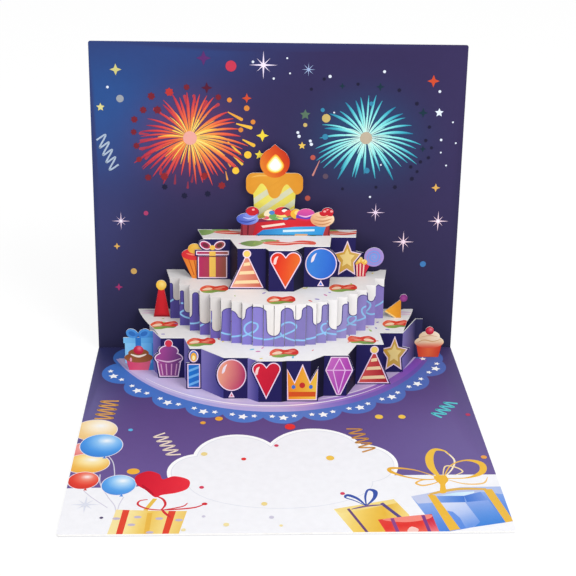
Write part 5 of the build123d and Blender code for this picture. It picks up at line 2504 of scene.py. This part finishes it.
@dataclass
class Studio:
    """White paper, soft light from the right front and a camera where the photograph was taken."""

    eye: Place = (-23.5, -487.45, 308.28)
    aim: Place = (3.0, 25.0, 66.6)
    roll: float = 1.35
    lens: float = 71.36
    sensor: float = 36.0
    world: float = 0.72
    paper: StudioPaper = StudioPaper()
    floor_reach: float = 4.0
    floor_drop: float = 0.0004
    lamps: tuple[Lamp, ...] = (
        Lamp("key_light", (0.75, -0.75, 1.0), 0.7, 9.0), Lamp("fill_light", (-0.9, -0.7, 0.6), 0.8, 2.0))

    def build(self) -> None:
        """Sets up the floor, the lamps, the world and the camera."""
        bpy.context.scene.view_settings.view_transform = "Standard"
        self.floor()
        self.sky()
        for lamp in self.lamps:
            self.hang(lamp)
        self.camera()

    def floor(self) -> None:
        """Lays the paper under the card."""
        reach = self.floor_reach
        corners = [(x, y, -self.floor_drop) for x, y in bar(-reach, -reach, reach, reach)]
        mesh = bpy.data.meshes.new("studio_floor")
        mesh.from_pydata(corners, [], [(0, 1, 2, 3)])
        mesh.materials.append(self.paper.material())
        link_piece("studio_floor", mesh)

    def sky(self) -> None:
        """Lights the room evenly, and shows white where the camera sees past the paper."""
        world = bpy.data.worlds.new("studio_room")
        world.use_nodes = True
        bpy.context.scene.world = world
        tree = world.node_tree
        tree.nodes.clear()
        room, white = (
            add_node(tree, "ShaderNodeBackground", inputs={"Color": linear("#ffffff"), "Strength": strength})
            for strength in (self.world, 1.0))
        blend = add_node(tree, "ShaderNodeMixShader", inputs=(straight_rays(tree), room, white))
        add_node(tree, "ShaderNodeOutputWorld", inputs={"Surface": blend})

    def hang(self, lamp: Lamp) -> None:
        """Hangs a lamp that looks at the card.

        Args:
            lamp: The lamp.
        """
        light = bpy.data.lights.new(lamp.name, "AREA")
        light.size = lamp.side
        light.energy = lamp.power
        holder = bpy.data.objects.new(lamp.name, light)
        holder.location = lamp.place
        ray = Vector(self.aim) * MM - Vector(lamp.place)
        holder.rotation_euler = ray.to_track_quat("-Z", "Y").to_euler()
        bpy.context.scene.collection.objects.link(holder)

    def camera(self) -> None:
        """Puts the camera where the photograph was taken."""
        ahead = (Vector(self.aim) - Vector(self.eye)).normalized()
        level = ahead.cross(Vector((0, 0, 1))).normalized()
        upright = level.cross(ahead)
        c, s = cos(radians(self.roll)), sin(radians(self.roll))
        right, up = level * c + upright * s, upright * c - level * s
        data = bpy.data.cameras.new("photo_camera")
        data.lens = self.lens
        data.sensor_width = self.sensor
        camera = bpy.data.objects.new("photo_camera", data)
        turn = Matrix((right, up, -ahead)).transposed().to_4x4()
        camera.matrix_world = Matrix.Translation(Vector(self.eye) * MM) @ turn
        bpy.context.scene.collection.objects.link(camera)
        bpy.context.scene.camera = camera


BOTTOM_BLOCKS = (
    BlockInk(Motif.CUPCAKE, "#a8468f", "#6d3f7c"), BlockInk(Motif.TAPER, "#1f7ad0", "#2d66b8"),
    BlockInk(Motif.BALLOON, "#f0a184", "#b32a60"), BlockInk(Motif.HEART, "#d41f38", "#c41a34"),
    BlockInk(Motif.CROWN, "#ee8f24", "#f4c748"), BlockInk(Motif.GEM, "#c768bf", "#a83aa6"),
    BlockInk(Motif.HAT, "#e25c54", "#a31f2c"), BlockInk(Motif.STAR, "#dba53a", "#c9a860"),
)
TOP_BLOCKS = (
    BlockInk(Motif.GIFT, "#b32a5e", "#9c5c48"), BlockInk(Motif.HAT, "#eaa588", "#c85f4c"),
    BlockInk(Motif.HEART, "#e0301e", "#e8782e"), BlockInk(Motif.BALLOON, "#3f86dc", "#2a5fc8"),
    BlockInk(Motif.STAR, "#dba53a", "#cfae68"),
)
BOTTOM_BERRIES = (Berry(-61.9, 68.3), Berry(-41.2, 48.5), Berry(2.3, 36.3), Berry(44.6, 50.7, flipped=True),
    Berry(65.3, 69.5))
MIDDLE_BERRIES = (Berry(-34.5, 66.0), Berry(0.9, 52.6), Berry(34.9, 67.5))


def main() -> None:
    """Dresses the card piece by piece, then sets up the studio."""
    logging.basicConfig(level=logging.INFO, format="%(message)s")
    CardStock().dress()
    shop = Workshop(PrintedCard("printed_coated_board").material(),
        PrintedCard("printed_coated_card").material(), SpotTree("spots"), StreamerTree("streamers"))
    cover = (SkyPanel(shop), TablePanel(shop))
    cake = (
        BlockWall(shop, "bottom_wall", BOTTOM_BLOCKS), BlockWall(shop, "top_wall", TOP_BLOCKS),
        CakePlate(shop, "bottom_plate", BOTTOM_BERRIES, corner_strokes=((-69, 82.6), (70, 81)), seed=3),
        CakePlate(shop, "middle_tier", MIDDLE_BERRIES, seed=4),
        CakePlate(shop, "top_plate", (), swirls=((-0.8, 75.8), (-27.2, 91), (32.7, 90.5)), per_square_cm=0.3,
            seed=5),
        SlatRow(shop), CutOuts(shop), CandlePrint(shop), SweetsPrint(shop),
    )
    for assemblies, slot in ((cover, Slot.COVER), (cake, Slot.CARD)):
        for assembly in assemblies:
            for piece in assembly.build():
                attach(piece, BODY)
                log.info("%s: %d faces", piece.name, len(piece.data.polygons))
    Studio().build()


if __name__ == "__main__":
    main()
